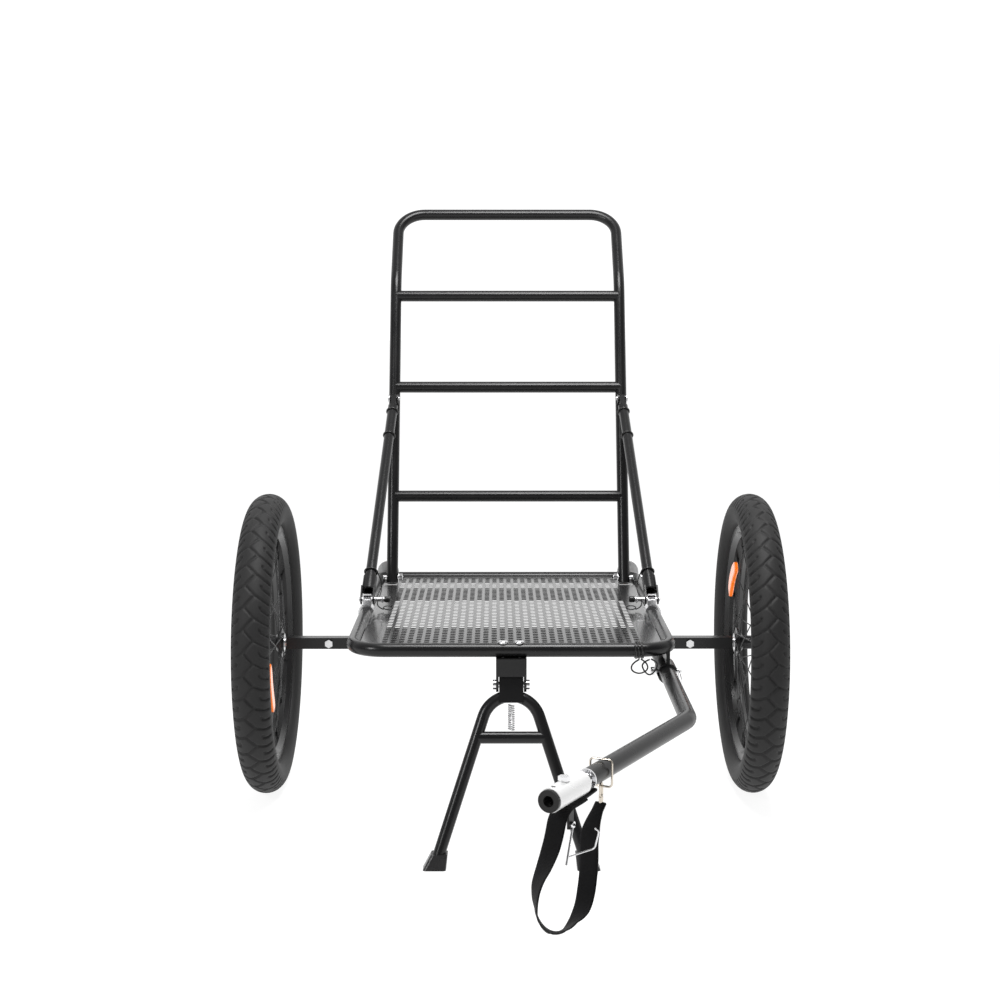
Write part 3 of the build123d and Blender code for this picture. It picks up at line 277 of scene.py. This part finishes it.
clouds.inputs["Detail"].default_value = 4.0
skin = peel.nodes.new("ShaderNodeTexNoise")
dust_mix = peel.nodes.new("ShaderNodeMix")
dust_mix.data_type = "RGBA"
dust_mix.inputs["B"].default_value = (0.10, 0.095, 0.09, 1)
dust_amount = peel.nodes.new("ShaderNodeMath")
dust_amount.operation = "MULTIPLY"
rough_map = peel.nodes.new("ShaderNodeMapRange")
rough_map.inputs["To Min"].default_value = 0.20
rough_map.inputs["To Max"].default_value = 0.36
peel.links.new(place.outputs["Object"], clouds.inputs["Vector"])
peel.links.new(place.outputs["Object"], skin.inputs["Vector"])
peel.links.new(group_in.outputs["Peel size"], skin.inputs["Scale"])
peel.links.new(clouds.outputs["Fac"], dust_amount.inputs[0])
peel.links.new(group_in.outputs["Dust"], dust_amount.inputs[1])
peel.links.new(dust_amount.outputs["Value"], dust_mix.inputs["Factor"])
peel.links.new(group_in.outputs["Base"], dust_mix.inputs["A"])
peel.links.new(clouds.outputs["Fac"], rough_map.inputs["Value"])
peel.links.new(dust_mix.outputs["Result"], group_out.inputs["Colour"])
peel.links.new(rough_map.outputs["Result"], group_out.inputs["Roughness"])
peel.links.new(skin.outputs["Fac"], group_out.inputs["Height"])


def coated(name, colour, dust, peel_size, relief, metallic=0.0, roughness=True):
    """A material whose colour, roughness and skin come from the coat texture."""
    material, tree, shader = new_material(name, colour, 0.4, metallic)
    coat = tree.nodes.new("ShaderNodeGroup")
    coat.node_tree = peel
    coat.inputs["Dust"].default_value = dust
    coat.inputs["Peel size"].default_value = peel_size
    coat.inputs["Base"].default_value = (*colour, 1)
    bump = tree.nodes.new("ShaderNodeBump")
    bump.inputs["Strength"].default_value = relief
    bump.inputs["Distance"].default_value = 0.0004
    tree.links.new(coat.outputs["Colour"], shader.inputs["Base Color"])
    if roughness:
        tree.links.new(coat.outputs["Roughness"], shader.inputs["Roughness"])
    tree.links.new(coat.outputs["Height"], bump.inputs["Height"])
    tree.links.new(bump.outputs["Normal"], shader.inputs["Normal"])
    return material


def dress(material, *nodes):
    """Give a material to pieces of the frame that keep their own shape."""
    for name in nodes:
        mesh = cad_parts[name].data
        mesh.materials.clear()
        mesh.materials.append(material)


powder_coat = coated("satin_powder_coat", (0.0045, 0.0045, 0.005), 0.04, 900.0, 0.04)
powder_coat.node_tree.nodes["Principled BSDF"].inputs["Specular IOR Level"].default_value = 0.34
dress(powder_coat, "deck_frame", "deck_crossmembers", "axle_bar", "axle_brackets", "backrest_frame",
      "backrest_crossbars", "strut_ears", "strut_tube_left", "strut_tube_right", "strut_sleeve_left",
      "strut_sleeve_right", "stand_bracket", "stand_frame", "stand_hub", "drawbar_receivers",
      "drawbar_tube")

# Deck sheet. Steel sheet punched with rounded square holes in staggered columns and powder coated,
# with a plain margin all round, let in between the rails. It is drawn 0.7 mm thick, not the 1.5 mm
# of the solid, so that light from the floor comes through the holes at a low angle.
sheet_low, sheet_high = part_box("deck_plate")
hole_pitch = 0.0135
hole_size = 0.0088
hole_corner = 0.0016
perforated_half = 0.2105
front_margin = 0.017
rear_margin = 0.014
front_round = 0.0405
drawn_half_thickness = 0.00035
sheet_mid = (sheet_low[0] + sheet_high[0]) / 2


def arc_points(cx, cy, radius, start, count=6):
    """Points along a quarter turn, in degrees from start."""
    angles = [radians(start + 90 * k / count) for k in range(count + 1)]
    return [(cx + radius * cos(a), cy + radius * sin(a)) for a in angles]


upright_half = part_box("backrest_frame")[1][0] - 0.0111
pivot_y = axle_y + 0.30895
notch_in = upright_half - 0.0111 - 0.009 - 0.003
notch_front = pivot_y - 0.0111 - 0.003
slot_in = upright_half - 0.0111 - 0.003
slot_front = pivot_y - 0.084
notch_back = pivot_y + 0.0111 + 0.007
hook_y = axle_y - 0.022
right_side = [(sheet_high[0], hook_y - 0.016), (sheet_high[0] - 0.003, hook_y - 0.016),
              (sheet_high[0] - 0.003, hook_y + 0.016), (sheet_high[0], hook_y + 0.016),
              (sheet_high[0], slot_front), (slot_in, slot_front), (slot_in, notch_front),
              (notch_in, notch_front), (notch_in, notch_back)]
outline = (arc_points(sheet_low[0] + front_round, sheet_low[1] + front_round, front_round, 180)
           + arc_points(sheet_high[0] - front_round, sheet_low[1] + front_round, front_round, 270)
           + right_side + [(notch_in, sheet_high[1]), (-notch_in, sheet_high[1])]
           + [(2 * sheet_mid - x, y) for x, y in reversed(right_side)])
sheet_curve = bpy.data.curves.new("punched_sheet", "CURVE")
sheet_curve.dimensions = "2D"
sheet_curve.fill_mode = "BOTH"
sheet_curve.extrude = drawn_half_thickness


def closed_outline(points):
    """One closed straight-sided outline of the sheet."""
    spline = sheet_curve.splines.new("POLY")
    spline.points.add(len(points) - 1)
    for control, (x, y) in zip(spline.points, points):
        control.co = (x, y, 0, 1)
    spline.use_cyclic_u = True


closed_outline(outline)
columns = int(2 * perforated_half / hole_pitch)
rows = int((sheet_high[1] - sheet_low[1] - front_margin - rear_margin) / hole_pitch)
half, cut = hole_size / 2, hole_corner
for column in range(columns):
    x = (column - (columns - 1) / 2) * hole_pitch
    shift = hole_pitch / 2 if column % 2 else 0.0
    for line in range(rows - column % 2):
        y = sheet_low[1] + front_margin + hole_pitch / 2 + line * hole_pitch + shift
        if abs(x) > notch_in - 0.007 and y > notch_front - 0.008:
            continue
        if abs(x) > slot_in - 0.007 and y > slot_front - 0.008:
            continue
        corner = (abs(x) - sheet_high[0] + front_round, sheet_low[1] + front_round - y)
        if min(corner) > 0 and corner[0] ** 2 + corner[1] ** 2 > (front_round - 0.012) ** 2:
            continue
        closed_outline([(x - half + cut, y - half), (x + half - cut, y - half), (x + half, y - half + cut),
                        (x + half, y + half - cut), (x + half - cut, y + half),
                        (x - half + cut, y + half), (x - half, y + half - cut), (x - half, y - half + cut)])
holder = bpy.data.objects.new("punched_sheet_outline", sheet_curve)
holder.location = (0, 0, sheet_high[2] - drawn_half_thickness)
bpy.context.collection.objects.link(holder)
bpy.context.view_layer.update()
sheet_mesh = bpy.data.meshes.new_from_object(holder.evaluated_get(bpy.context.evaluated_depsgraph_get()))
sheet_mesh.transform(Matrix.Translation(holder.location))
bpy.data.objects.remove(holder)
punched_sheet = bpy.data.objects.new("punched_sheet", sheet_mesh)
bpy.context.collection.objects.link(punched_sheet)
sheet_mesh.materials.clear()
sheet_coat = coated("sheet_powder_coat", (0.006, 0.006, 0.0065), 0.06, 700.0, 0.02, roughness=False)
sheet_coat.node_tree.nodes["Principled BSDF"].inputs["Roughness"].default_value = 0.24
sheet_coat.node_tree.nodes["Principled BSDF"].inputs["Coat Weight"].default_value = 0.25
sheet_coat.node_tree.nodes["Principled BSDF"].inputs["Coat Roughness"].default_value = 0.10
sheet_coat.node_tree.nodes["Principled BSDF"].inputs["Specular IOR Level"].default_value = 0.5
sheet_mesh.materials.append(sheet_coat)
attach(punched_sheet, "chassis")
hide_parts("deck_plate")

# Tyres. Wide black rubber balloon tyres with a road tread: a zigzag groove runs round the middle,
# each corner of it runs on to the shoulder, and a short hooked slit stands between those.
tread_pitches = 44
samples = 22
tread_half = 0.036
groove_width = 0.0017
groove_depth = 0.0026
tyre_half = 0.032
tyre_crown = 0.265
tread_lines = [[(-0.22, 0.0), (0.22, 0.5), (0.62, 0.70), (1.0, 0.80)],
               [(0.22, 0.5), (-0.22, 1.0), (-0.62, 1.20), (-1.0, 1.30)],
               [(0.48, 0.02), (0.54, 0.15), (0.76, 0.25), (1.0, 0.29)],
               [(-0.48, 0.52), (-0.54, 0.65), (-0.76, 0.75), (-1.0, 0.79)]]
pitch_length = 2 * pi * tyre_crown / tread_pitches


def groove_depths(across, phase):
    """How deep the tread is cut at each place across it, -1 to 1, and along one pitch."""
    nearest = np.full(across.shape, 1.0)
    for line in tread_lines:
        for shift in (-2, -1, 0, 1):
            for (a0, u0), (a1, u1) in zip(line, line[1:]):
                ax, ay = a0 * tread_half, (u0 + shift) * pitch_length
                bx, by = a1 * tread_half, (u1 + shift) * pitch_length
                px, py = across * tread_half, phase * pitch_length
                t = np.clip(((px - ax) * (bx - ax) + (py - ay) * (by - ay))
                            / ((bx - ax) ** 2 + (by - ay) ** 2), 0, 1)
                nearest = np.minimum(nearest, np.hypot(px - ax - t * (bx - ax), py - ay - t * (by - ay)))
    return groove_depth * np.clip(1.6 - nearest / groove_width, 0, 1)


section = []
tread_count = 44
for step in range(tread_count + 1):
    turn = (step / tread_count - 0.5) * radians(2 * 74)
    section.append((tyre_half * sin(turn), tyre_crown - tyre_half + tyre_half * cos(turn),
                    step / tread_count * 2 - 1))
wall = [(0.0319, 0.2362), (0.0318, 0.2310), (0.0303, 0.2245), (0.0275, 0.2180), (0.0232, 0.2130),
        (0.0185, 0.2105), (0.0145, 0.2099), (0.0140, 0.2060), (0.0140, 0.2030), (0.0, 0.2032)]
profile = ([(-x, r, None) for x, r in reversed(wall[:-1])] + section + [(x, r, None) for x, r in wall])
around = tread_pitches * samples
angles = np.arange(around) * 2 * pi / around
phases = (np.arange(around) % samples) / samples
rubber = coated("tyre_rubber", (0.0105, 0.0105, 0.011), 0.10, 500.0, 0.4, roughness=False)
rubber.node_tree.nodes["Principled BSDF"].inputs["Specular IOR Level"].default_value = 0.30
rubber.node_tree.nodes["Principled BSDF"].inputs["Roughness"].default_value = 0.62
for side_name, side in (("left", -1), ("right", 1)):
    low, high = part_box(f"tyre_{side_name}")
    middle = (low[0] + high[0]) / 2
    points = np.zeros((len(profile), around, 3))
    for place_index, (x, radius, across) in enumerate(profile):
        radii = np.full(around, radius)
        if across is not None:
            depth = groove_depths(np.full(around, across), phases)
            fade = 1.0 if abs(across) < 0.96 else 0.0
            turn = across * radians(74)
            radii = radii - depth * fade * cos(turn)
            xs = x - depth * fade * sin(turn)
        else:
            xs = np.full(around, x)
        points[place_index, :, 0] = middle + xs
        points[place_index, :, 1] = axle_y + radii * np.cos(angles)
        points[place_index, :, 2] = axle_z + radii * np.sin(angles)
    count = len(profile)
    ring = np.arange(around)
    nxt = (ring + 1) % around
    faces = []
    for line in range(count):
        following = (line + 1) % count
        faces.append(np.stack([line * around + ring, line * around + nxt,
                               following * around + nxt, following * around + ring], axis=1))
    faces = np.concatenate(faces)
    tyre = mesh_piece(f"treaded_tyre_{side_name}", points.reshape(-1, 3).tolist(), faces.tolist())
    face_outwards(tyre)
    tyre.data.materials.append(rubber)
    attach(tyre, f"wheel_{side_name}_body")
    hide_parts(f"tyre_{side_name}")

# Rims, spokes and hubs. Black anodised double-wall rims, laced with black wire spokes to black
# alloy hubs with sealed bearings. A rubber inner tube lies inside each tyre.
dress(coated("inner_tube_rubber", (0.02, 0.02, 0.02), 0.1, 400.0, 0.2),
      "inner_tube_left", "inner_tube_right")
dress(coated("anodised_rim", (0.006, 0.006, 0.0065), 0.06, 1200.0, 0.04), "rim_left", "rim_right")
dress(coated("spoke_wire", (0.020, 0.020, 0.021), 0.05, 800.0, 0.05, metallic=0.4),
      "spokes_left", "spokes_right")
dress(coated("black_alloy", (0.05, 0.05, 0.052), 0.10, 600.0, 0.05, metallic=0.8),
      "hub_left", "hub_right")

# Fasteners and fittings. Zinc-plated bolts, nuts, hooks and pins, chromed dome bolts and the
# coupler's bright parts, with the plating's faint cloudiness.
zinc = coated("bright_zinc", (0.74, 0.74, 0.75), 0.12, 500.0, 0.10, metallic=1.0)
dress(zinc, "wheel_axles", "axle_bolts", "axle_nuts", "bearings_left", "bearings_right",
      "backrest_pivot_bolts", "strut_top_pins", "strut_clevises", "lock_pin")
chrome = coated("chrome_plate", (0.80, 0.80, 0.81), 0.03, 300.0, 0.02, metallic=1.0, roughness=False)
chrome.node_tree.nodes["Principled BSDF"].inputs["Roughness"].default_value = 0.12
dress(chrome, "stand_bolts", "coupler_bolt", "coupler_link", "hitch_pin", "hitch_bail")
nickel = coated("warm_nickel", (0.66, 0.60, 0.52), 0.08, 400.0, 0.05, metallic=1.0, roughness=False)
nickel.node_tree.nodes["Principled BSDF"].inputs["Roughness"].default_value = 0.2
dress(nickel, "snap_hook", "snap_gate")
sleeve_zinc = coated("pale_zinc_sleeve", (0.86, 0.86, 0.86), 0.06, 260.0, 0.06, metallic=0.35)
dress(sleeve_zinc, "coupler_sleeve")
dress(chrome, "coupler_socket")
black_plastic = coated("black_moulding", (0.012, 0.012, 0.012), 0.08, 700.0, 0.25)
black_plastic.node_tree.nodes["Principled BSDF"].inputs["Specular IOR Level"].default_value = 0.22
dress(black_plastic, "coupler_bush", "hitch_tab")
dress(coated("foot_rubber", (0.012, 0.012, 0.013), 0.18, 500.0, 0.5), "stand_feet")

# Reflectors. Moulded orange spoke reflectors and clear grey rear ones, with rows of fine
# prisms behind the face. They clip to the spokes and screw to the deck frame. The orange and
# clear plastics carry a painted glow: they emit light in their own colour, though they are no lamps.
def prism_plastic(name, colour, painted_glow):
    """A clear coloured plastic with fine crossed prisms, and a painted glow in its own colour."""
    material, tree, shader = new_material(name, colour, 0.18)
    shader.inputs["Coat Weight"].default_value = 0.6
    # Painted glow: the plastic emits light in its own colour, though it is no lamp.
    shader.inputs["Emission Color"].default_value = (*colour, 1)
    shader.inputs["Emission Strength"].default_value = painted_glow
    place = tree.nodes.new("ShaderNodeTexCoord")
    cells = tree.nodes.new("ShaderNodeTexVoronoi")
    cells.inputs["Scale"].default_value = 420.0
    bump = tree.nodes.new("ShaderNodeBump")
    bump.inputs["Strength"].default_value = 0.15
    bump.inputs["Distance"].default_value = 0.0004
    tree.links.new(place.outputs["Object"], cells.inputs["Vector"])
    tree.links.new(cells.outputs["Distance"], bump.inputs["Height"])
    tree.links.new(bump.outputs["Normal"], shader.inputs["Normal"])
    return material


orange_prism = prism_plastic("orange_prism", (0.95, 0.19, 0.01), 0.35)
reflector_length, reflector_width, reflector_thick = 0.096, 0.024, 0.0075
squareness = 0.45
for side_name in ("left", "right"):
    low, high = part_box(f"wheel_reflector_{side_name}")
    middle = Vector([(a + b) / 2 for a, b in zip(low, high)])
    outward = Vector((0, middle.y - axle_y, middle.z - axle_z))
    reach = outward.length
    outward.normalize()
    along = Vector((1, 0, 0)).cross(outward)
    outline_count = 40
    layers = ((-0.5, 0.86), (-0.42, 0.96), (-0.30, 1.0), (0.30, 1.0), (0.42, 0.96), (0.5, 0.86))
    points = []
    for depth, size in layers:
        for k in range(outline_count):
            turn = 2 * pi * k / outline_count
            u = reflector_length / 2 * size * abs(cos(turn)) ** squareness * (1 if cos(turn) >= 0 else -1)
            v = reflector_width / 2 * size * abs(sin(turn)) ** squareness * (1 if sin(turn) >= 0 else -1)
            sag = reach - (reach ** 2 - u ** 2) ** 0.5
            points.append(middle + along * u + outward * (v - sag)
                          + Vector((depth * reflector_thick, 0, 0)))
    faces = [list(range(outline_count))[::-1],
             [(len(layers) - 1) * outline_count + k for k in range(outline_count)]]
    for layer in range(len(layers) - 1):
        for k in range(outline_count):
            a, b = layer * outline_count + k, layer * outline_count + (k + 1) % outline_count
            faces.append((a, b, b + outline_count, a + outline_count))
    bar = mesh_piece(f"spoke_reflector_{side_name}", points, faces, smooth=False)
    face_outwards(bar)
    bar.data.materials.append(orange_prism)
    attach(bar, f"wheel_{side_name}_body")
    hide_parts(f"wheel_reflector_{side_name}")
dress(prism_plastic("grey_housing", (0.74, 0.74, 0.74), 0.0), "reflector_housings")
dress(prism_plastic("clear_prism", (0.70, 0.70, 0.70), 0.05), "reflector_lenses")

# Stand spring. A close-wound wire spring, zinc plated, that stands between the crossbar and the
# hinge hub and holds the stand up or down.
spring_turns = 12
wire_radius = 0.0010
tilt = radians(17.3)
stand_pivot = Vector((0.0, axle_y - 0.347, 0.270))
stand_up = Vector((0, sin(tilt), cos(tilt)))
stand_out = Vector((0, -cos(tilt), sin(tilt)))
spring_low, spring_high, coil_radius = -0.0722, -0.0302, 0.0048


def wire_piece(name, points, radius, material, body, closed=False, kind="POLY"):
    """A round wire or cord along these points, made as a curve."""
    curve = bpy.data.curves.new(name, "CURVE")
    curve.dimensions = "3D"
    curve.bevel_depth = radius
    curve.bevel_resolution = 3
    curve.use_fill_caps = True
    spline = curve.splines.new(kind)
    spline.points.add(len(points) - 1)
    for control, point in zip(spline.points, points):
        control.co = (*point, 1.0)
    if kind == "NURBS":
        spline.order_u = 3
        spline.use_endpoint_u = not closed
    spline.use_cyclic_u = closed
    curve.materials.append(material)
    piece = bpy.data.objects.new(name, curve)
    bpy.context.collection.objects.link(piece)
    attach(piece, body)
    return piece


coil = []
for step in range(spring_turns * 18 + 1):
    share = step / (spring_turns * 18)
    turn = share * spring_turns * 2 * pi
    height = spring_low + wire_radius + share * (spring_high - spring_low - 2 * wire_radius)
    coil.append(stand_pivot + stand_up * height + stand_out * (coil_radius * cos(turn))
                + Vector((coil_radius * sin(turn), 0, 0)))
spring = wire_piece("coil_spring", coil, wire_radius, zinc, "stand")
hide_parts("stand_spring")

# Cable ties. Black nylon ties hold the pin lanyards to the struts, pulled tight.
tie_nylon = coated("black_nylon", (0.010, 0.010, 0.010), 0.05, 600.0, 0.15)
strut_top_half = 0.2275
strut_foot_half = 0.251
strut_foot_height = 0.347


def strut_ends(side):
    """The middles of one strut's top hinge pin and of its foot pin."""
    top_low, top_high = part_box("strut_top_pins")
    top = Vector((side * strut_top_half, (top_low[1] + top_high[1]) / 2, (top_low[2] + top_high[2]) / 2))
    return top, Vector((side * strut_foot_half, hook_y, strut_foot_height))


for side_name, side in (("left", -1), ("right", 1)):
    top, foot = strut_ends(side)
    along = (foot - top).normalized()
    out = along.cross(Vector((1, 0, 0))).normalized()
    over = along.cross(out).normalized()
    for number, distance in enumerate((0.040, 0.110)):
        centre = top + along * distance
        ring = [centre + (out * cos(a) + over * sin(a)) * 0.0105
                for a in (2 * pi * k / 20 for k in range(20))]
        wire_piece(f"strut_tie_{side_name}_{number + 1}", ring, 0.0018, tie_nylon, f"strut_{side_name}",
                   closed=True)

# Strap ring. A small rounded ring of nickel-plated steel wire that stands round the drawbar's
# end. The snap hook hangs from its lower side.
ring_low, ring_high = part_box("strap_ring")
ring_wire = 0.0014
ring_half = 0.0152
ring_corner = 0.005
ring_middle = Vector([(a + b) / 2 for a, b in zip(ring_low, ring_high)])
corners = []
for right, up in ((1, 1), (-1, 1), (-1, -1), (1, -1)):
    centre_up = (mouth.z + ring_half if up > 0 else ring_low[2] + ring_wire) - up * ring_corner
    for k in range(7):
        turn = (k / 6) * pi / 2
        first, second = (cos(turn), sin(turn)) if right * up > 0 else (sin(turn), cos(turn))
        corners.append(Vector((ring_middle.x, ring_middle.y, centre_up + up * ring_corner * second))
                       + arm_side * right * (ring_half - ring_corner + ring_corner * first))
ring_piece = wire_piece("strap_wire_ring", corners, ring_wire, nickel, "drawbar", closed=True)
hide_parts("strap_ring")

# Strut foot pins. Turned steel pins with a collar and a short black pull knob inboard, which lie
# in the hooks of the rails. A thin black lanyard with an eye is tied to each strut above its foot.
def turned_piece(name, base, direction, profile, material, body):
    """A lathe-turned piece: pairs of distance along the direction and radius."""
    across = direction.orthogonal().normalized()
    beside = direction.cross(across)
    ring_count = 32
    points, faces = [], []
    for distance, radius in profile:
        for k in range(ring_count):
            turn = 2 * pi * k / ring_count
            points.append(base + direction * distance
                          + (across * cos(turn) + beside * sin(turn)) * radius)
    for step in range(len(profile) - 1):
        for k in range(ring_count):
            a, b = step * ring_count + k, step * ring_count + (k + 1) % ring_count
            faces.append((a, b, b + ring_count, a + ring_count))
    faces.append(list(range(ring_count))[::-1])
    faces.append([(len(profile) - 1) * ring_count + k for k in range(ring_count)])
    piece = mesh_piece(name, points, faces, smooth=False)
    face_outwards(piece)
    piece.data.materials.append(material)
    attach(piece, body)
    return piece


for side_name, side in (("left", -1), ("right", 1)):
    low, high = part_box(f"strut_pin_{side_name}")
    outer = high[0] if side > 0 else low[0]
    pin_y, pin_z = (low[1] + high[1]) / 2, (low[2] + high[2]) / 2
    inward = Vector((-side, 0, 0))
    start = Vector((outer, pin_y, pin_z))
    pin = turned_piece(f"foot_pin_{side_name}", start, inward,
                       [(0.0, 0.0030), (0.0010, 0.0039), (0.0400, 0.0039), (0.0402, 0.0060),
                        (0.0412, 0.0068), (0.0422, 0.0060), (0.0424, 0.0046), (0.0445, 0.0046)],
                       zinc, f"strut_pin_{side_name}_body")
    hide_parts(f"strut_pin_{side_name}")
    turned_piece(f"foot_pin_knob_{side_name}", start + inward * 0.0446, inward,
                 [(0.0, 0.0040), (0.0010, 0.0052), (0.0030, 0.0056), (0.0080, 0.0056), (0.0100, 0.0050),
                  (0.0108, 0.0036)],
                 tie_nylon, f"strut_pin_{side_name}_body")
    top, foot = strut_ends(side)
    along = (top - foot).normalized()
    out = along.cross(Vector((1, 0, 0))).normalized()
    over = along.cross(out).normalized()
    tie_place = foot + along * 0.066
    tie = [tie_place + (out * cos(a) + over * sin(a)) * 0.0112
           for a in (2 * pi * k / 20 for k in range(20))]
    wire_piece(f"lanyard_tie_{side_name}", tie, 0.0016, tie_nylon, f"strut_{side_name}",
               closed=True)
    wire_piece(f"lanyard_{side_name}",
               [tie_place + Vector((-side * 0.0115, 0, 0)),
                tie_place + Vector((-side * 0.019, -0.004, -0.014)),
                tie_place + Vector((-side * 0.020, -0.010, -0.034)),
                Vector((-side * 0.014, -0.016, -0.010)) + foot,
                Vector((-side * 0.030, -0.019, -0.0145)) + foot],
               0.0011, tie_nylon, f"strut_{side_name}", kind="NURBS")
    eye_middle = foot + Vector((-side * 0.038, -0.019, -0.0125))
    eye = [eye_middle + Vector((0.0085 * cos(a), 0.0070 * sin(a), 0.0020 * sin(a) + 0.0010))
           for a in (2 * pi * k / 24 for k in range(24))]
    wire_piece(f"lanyard_eye_{side_name}", eye, 0.0010, tie_nylon, f"strut_{side_name}",
               closed=True)

# Tie at the front tube. A thin black elastic cord is wound three times round the tube beside
# the drawbar, and its two ends hang down in short loops.
tube_y = axle_y - 0.344
tube_z = 0.325
wound_radius = 0.0128
for number, place_x in enumerate((0.196, 0.2005, 0.2060)):
    turn_points = [Vector((place_x + 0.0012 * sin(2 * a), tube_y + wound_radius * cos(a),
                           tube_z + wound_radius * sin(a)))
                   for a in (2 * pi * k / 28 for k in range(28))]
    wire_piece(f"elastic_turn_{number + 1}", turn_points, 0.0015, tie_nylon, "chassis",
               closed=True)
loop_sizes = ((0.190, 0.212, 0.290, 0.003), (0.204, 0.230, 0.287, -0.003))
for number, (left_x, right_x, bottom, lean) in enumerate(loop_sizes):
    middle_x = (left_x + right_x) / 2
    loop = [Vector((middle_x, tube_y - 0.0145, 0.313)), Vector((left_x, tube_y - 0.016, 0.308)),
            Vector((left_x - lean, tube_y - 0.017, 0.296)), Vector((middle_x, tube_y - 0.018, bottom)),
            Vector((right_x + lean, tube_y - 0.017, 0.297)), Vector((right_x, tube_y - 0.016, 0.309)),
            Vector((middle_x + 0.002, tube_y - 0.0142, 0.3135))]
    wire_piece(f"elastic_loop_{number + 1}", loop, 0.0013, tie_nylon, "chassis",
               kind="NURBS")

# Lock pin's keeper. A thin ring of bright spring wire hangs from the tip of the drawbar's lock
# pin and keeps the pin from working out.
keeper_radius = 0.013
pin_low, pin_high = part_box("lock_pin")
pin_y, pin_z = (pin_low[1] + pin_high[1]) / 2, (pin_low[2] + pin_high[2]) / 2
keeper = [Vector((pin_high[0] - 0.002 + 0.001 * sin(3 * a), pin_y + keeper_radius * sin(a),
                  pin_z - 0.012 + keeper_radius * cos(a)))
          for a in (2 * pi * k / 30 for k in range(30))]
wire_piece("keeper_ring", keeper, 0.0006, chrome, "lock_pin_body", closed=True)

# Size of the built model, without the floor.
bpy.context.view_layer.update()
low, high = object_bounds()
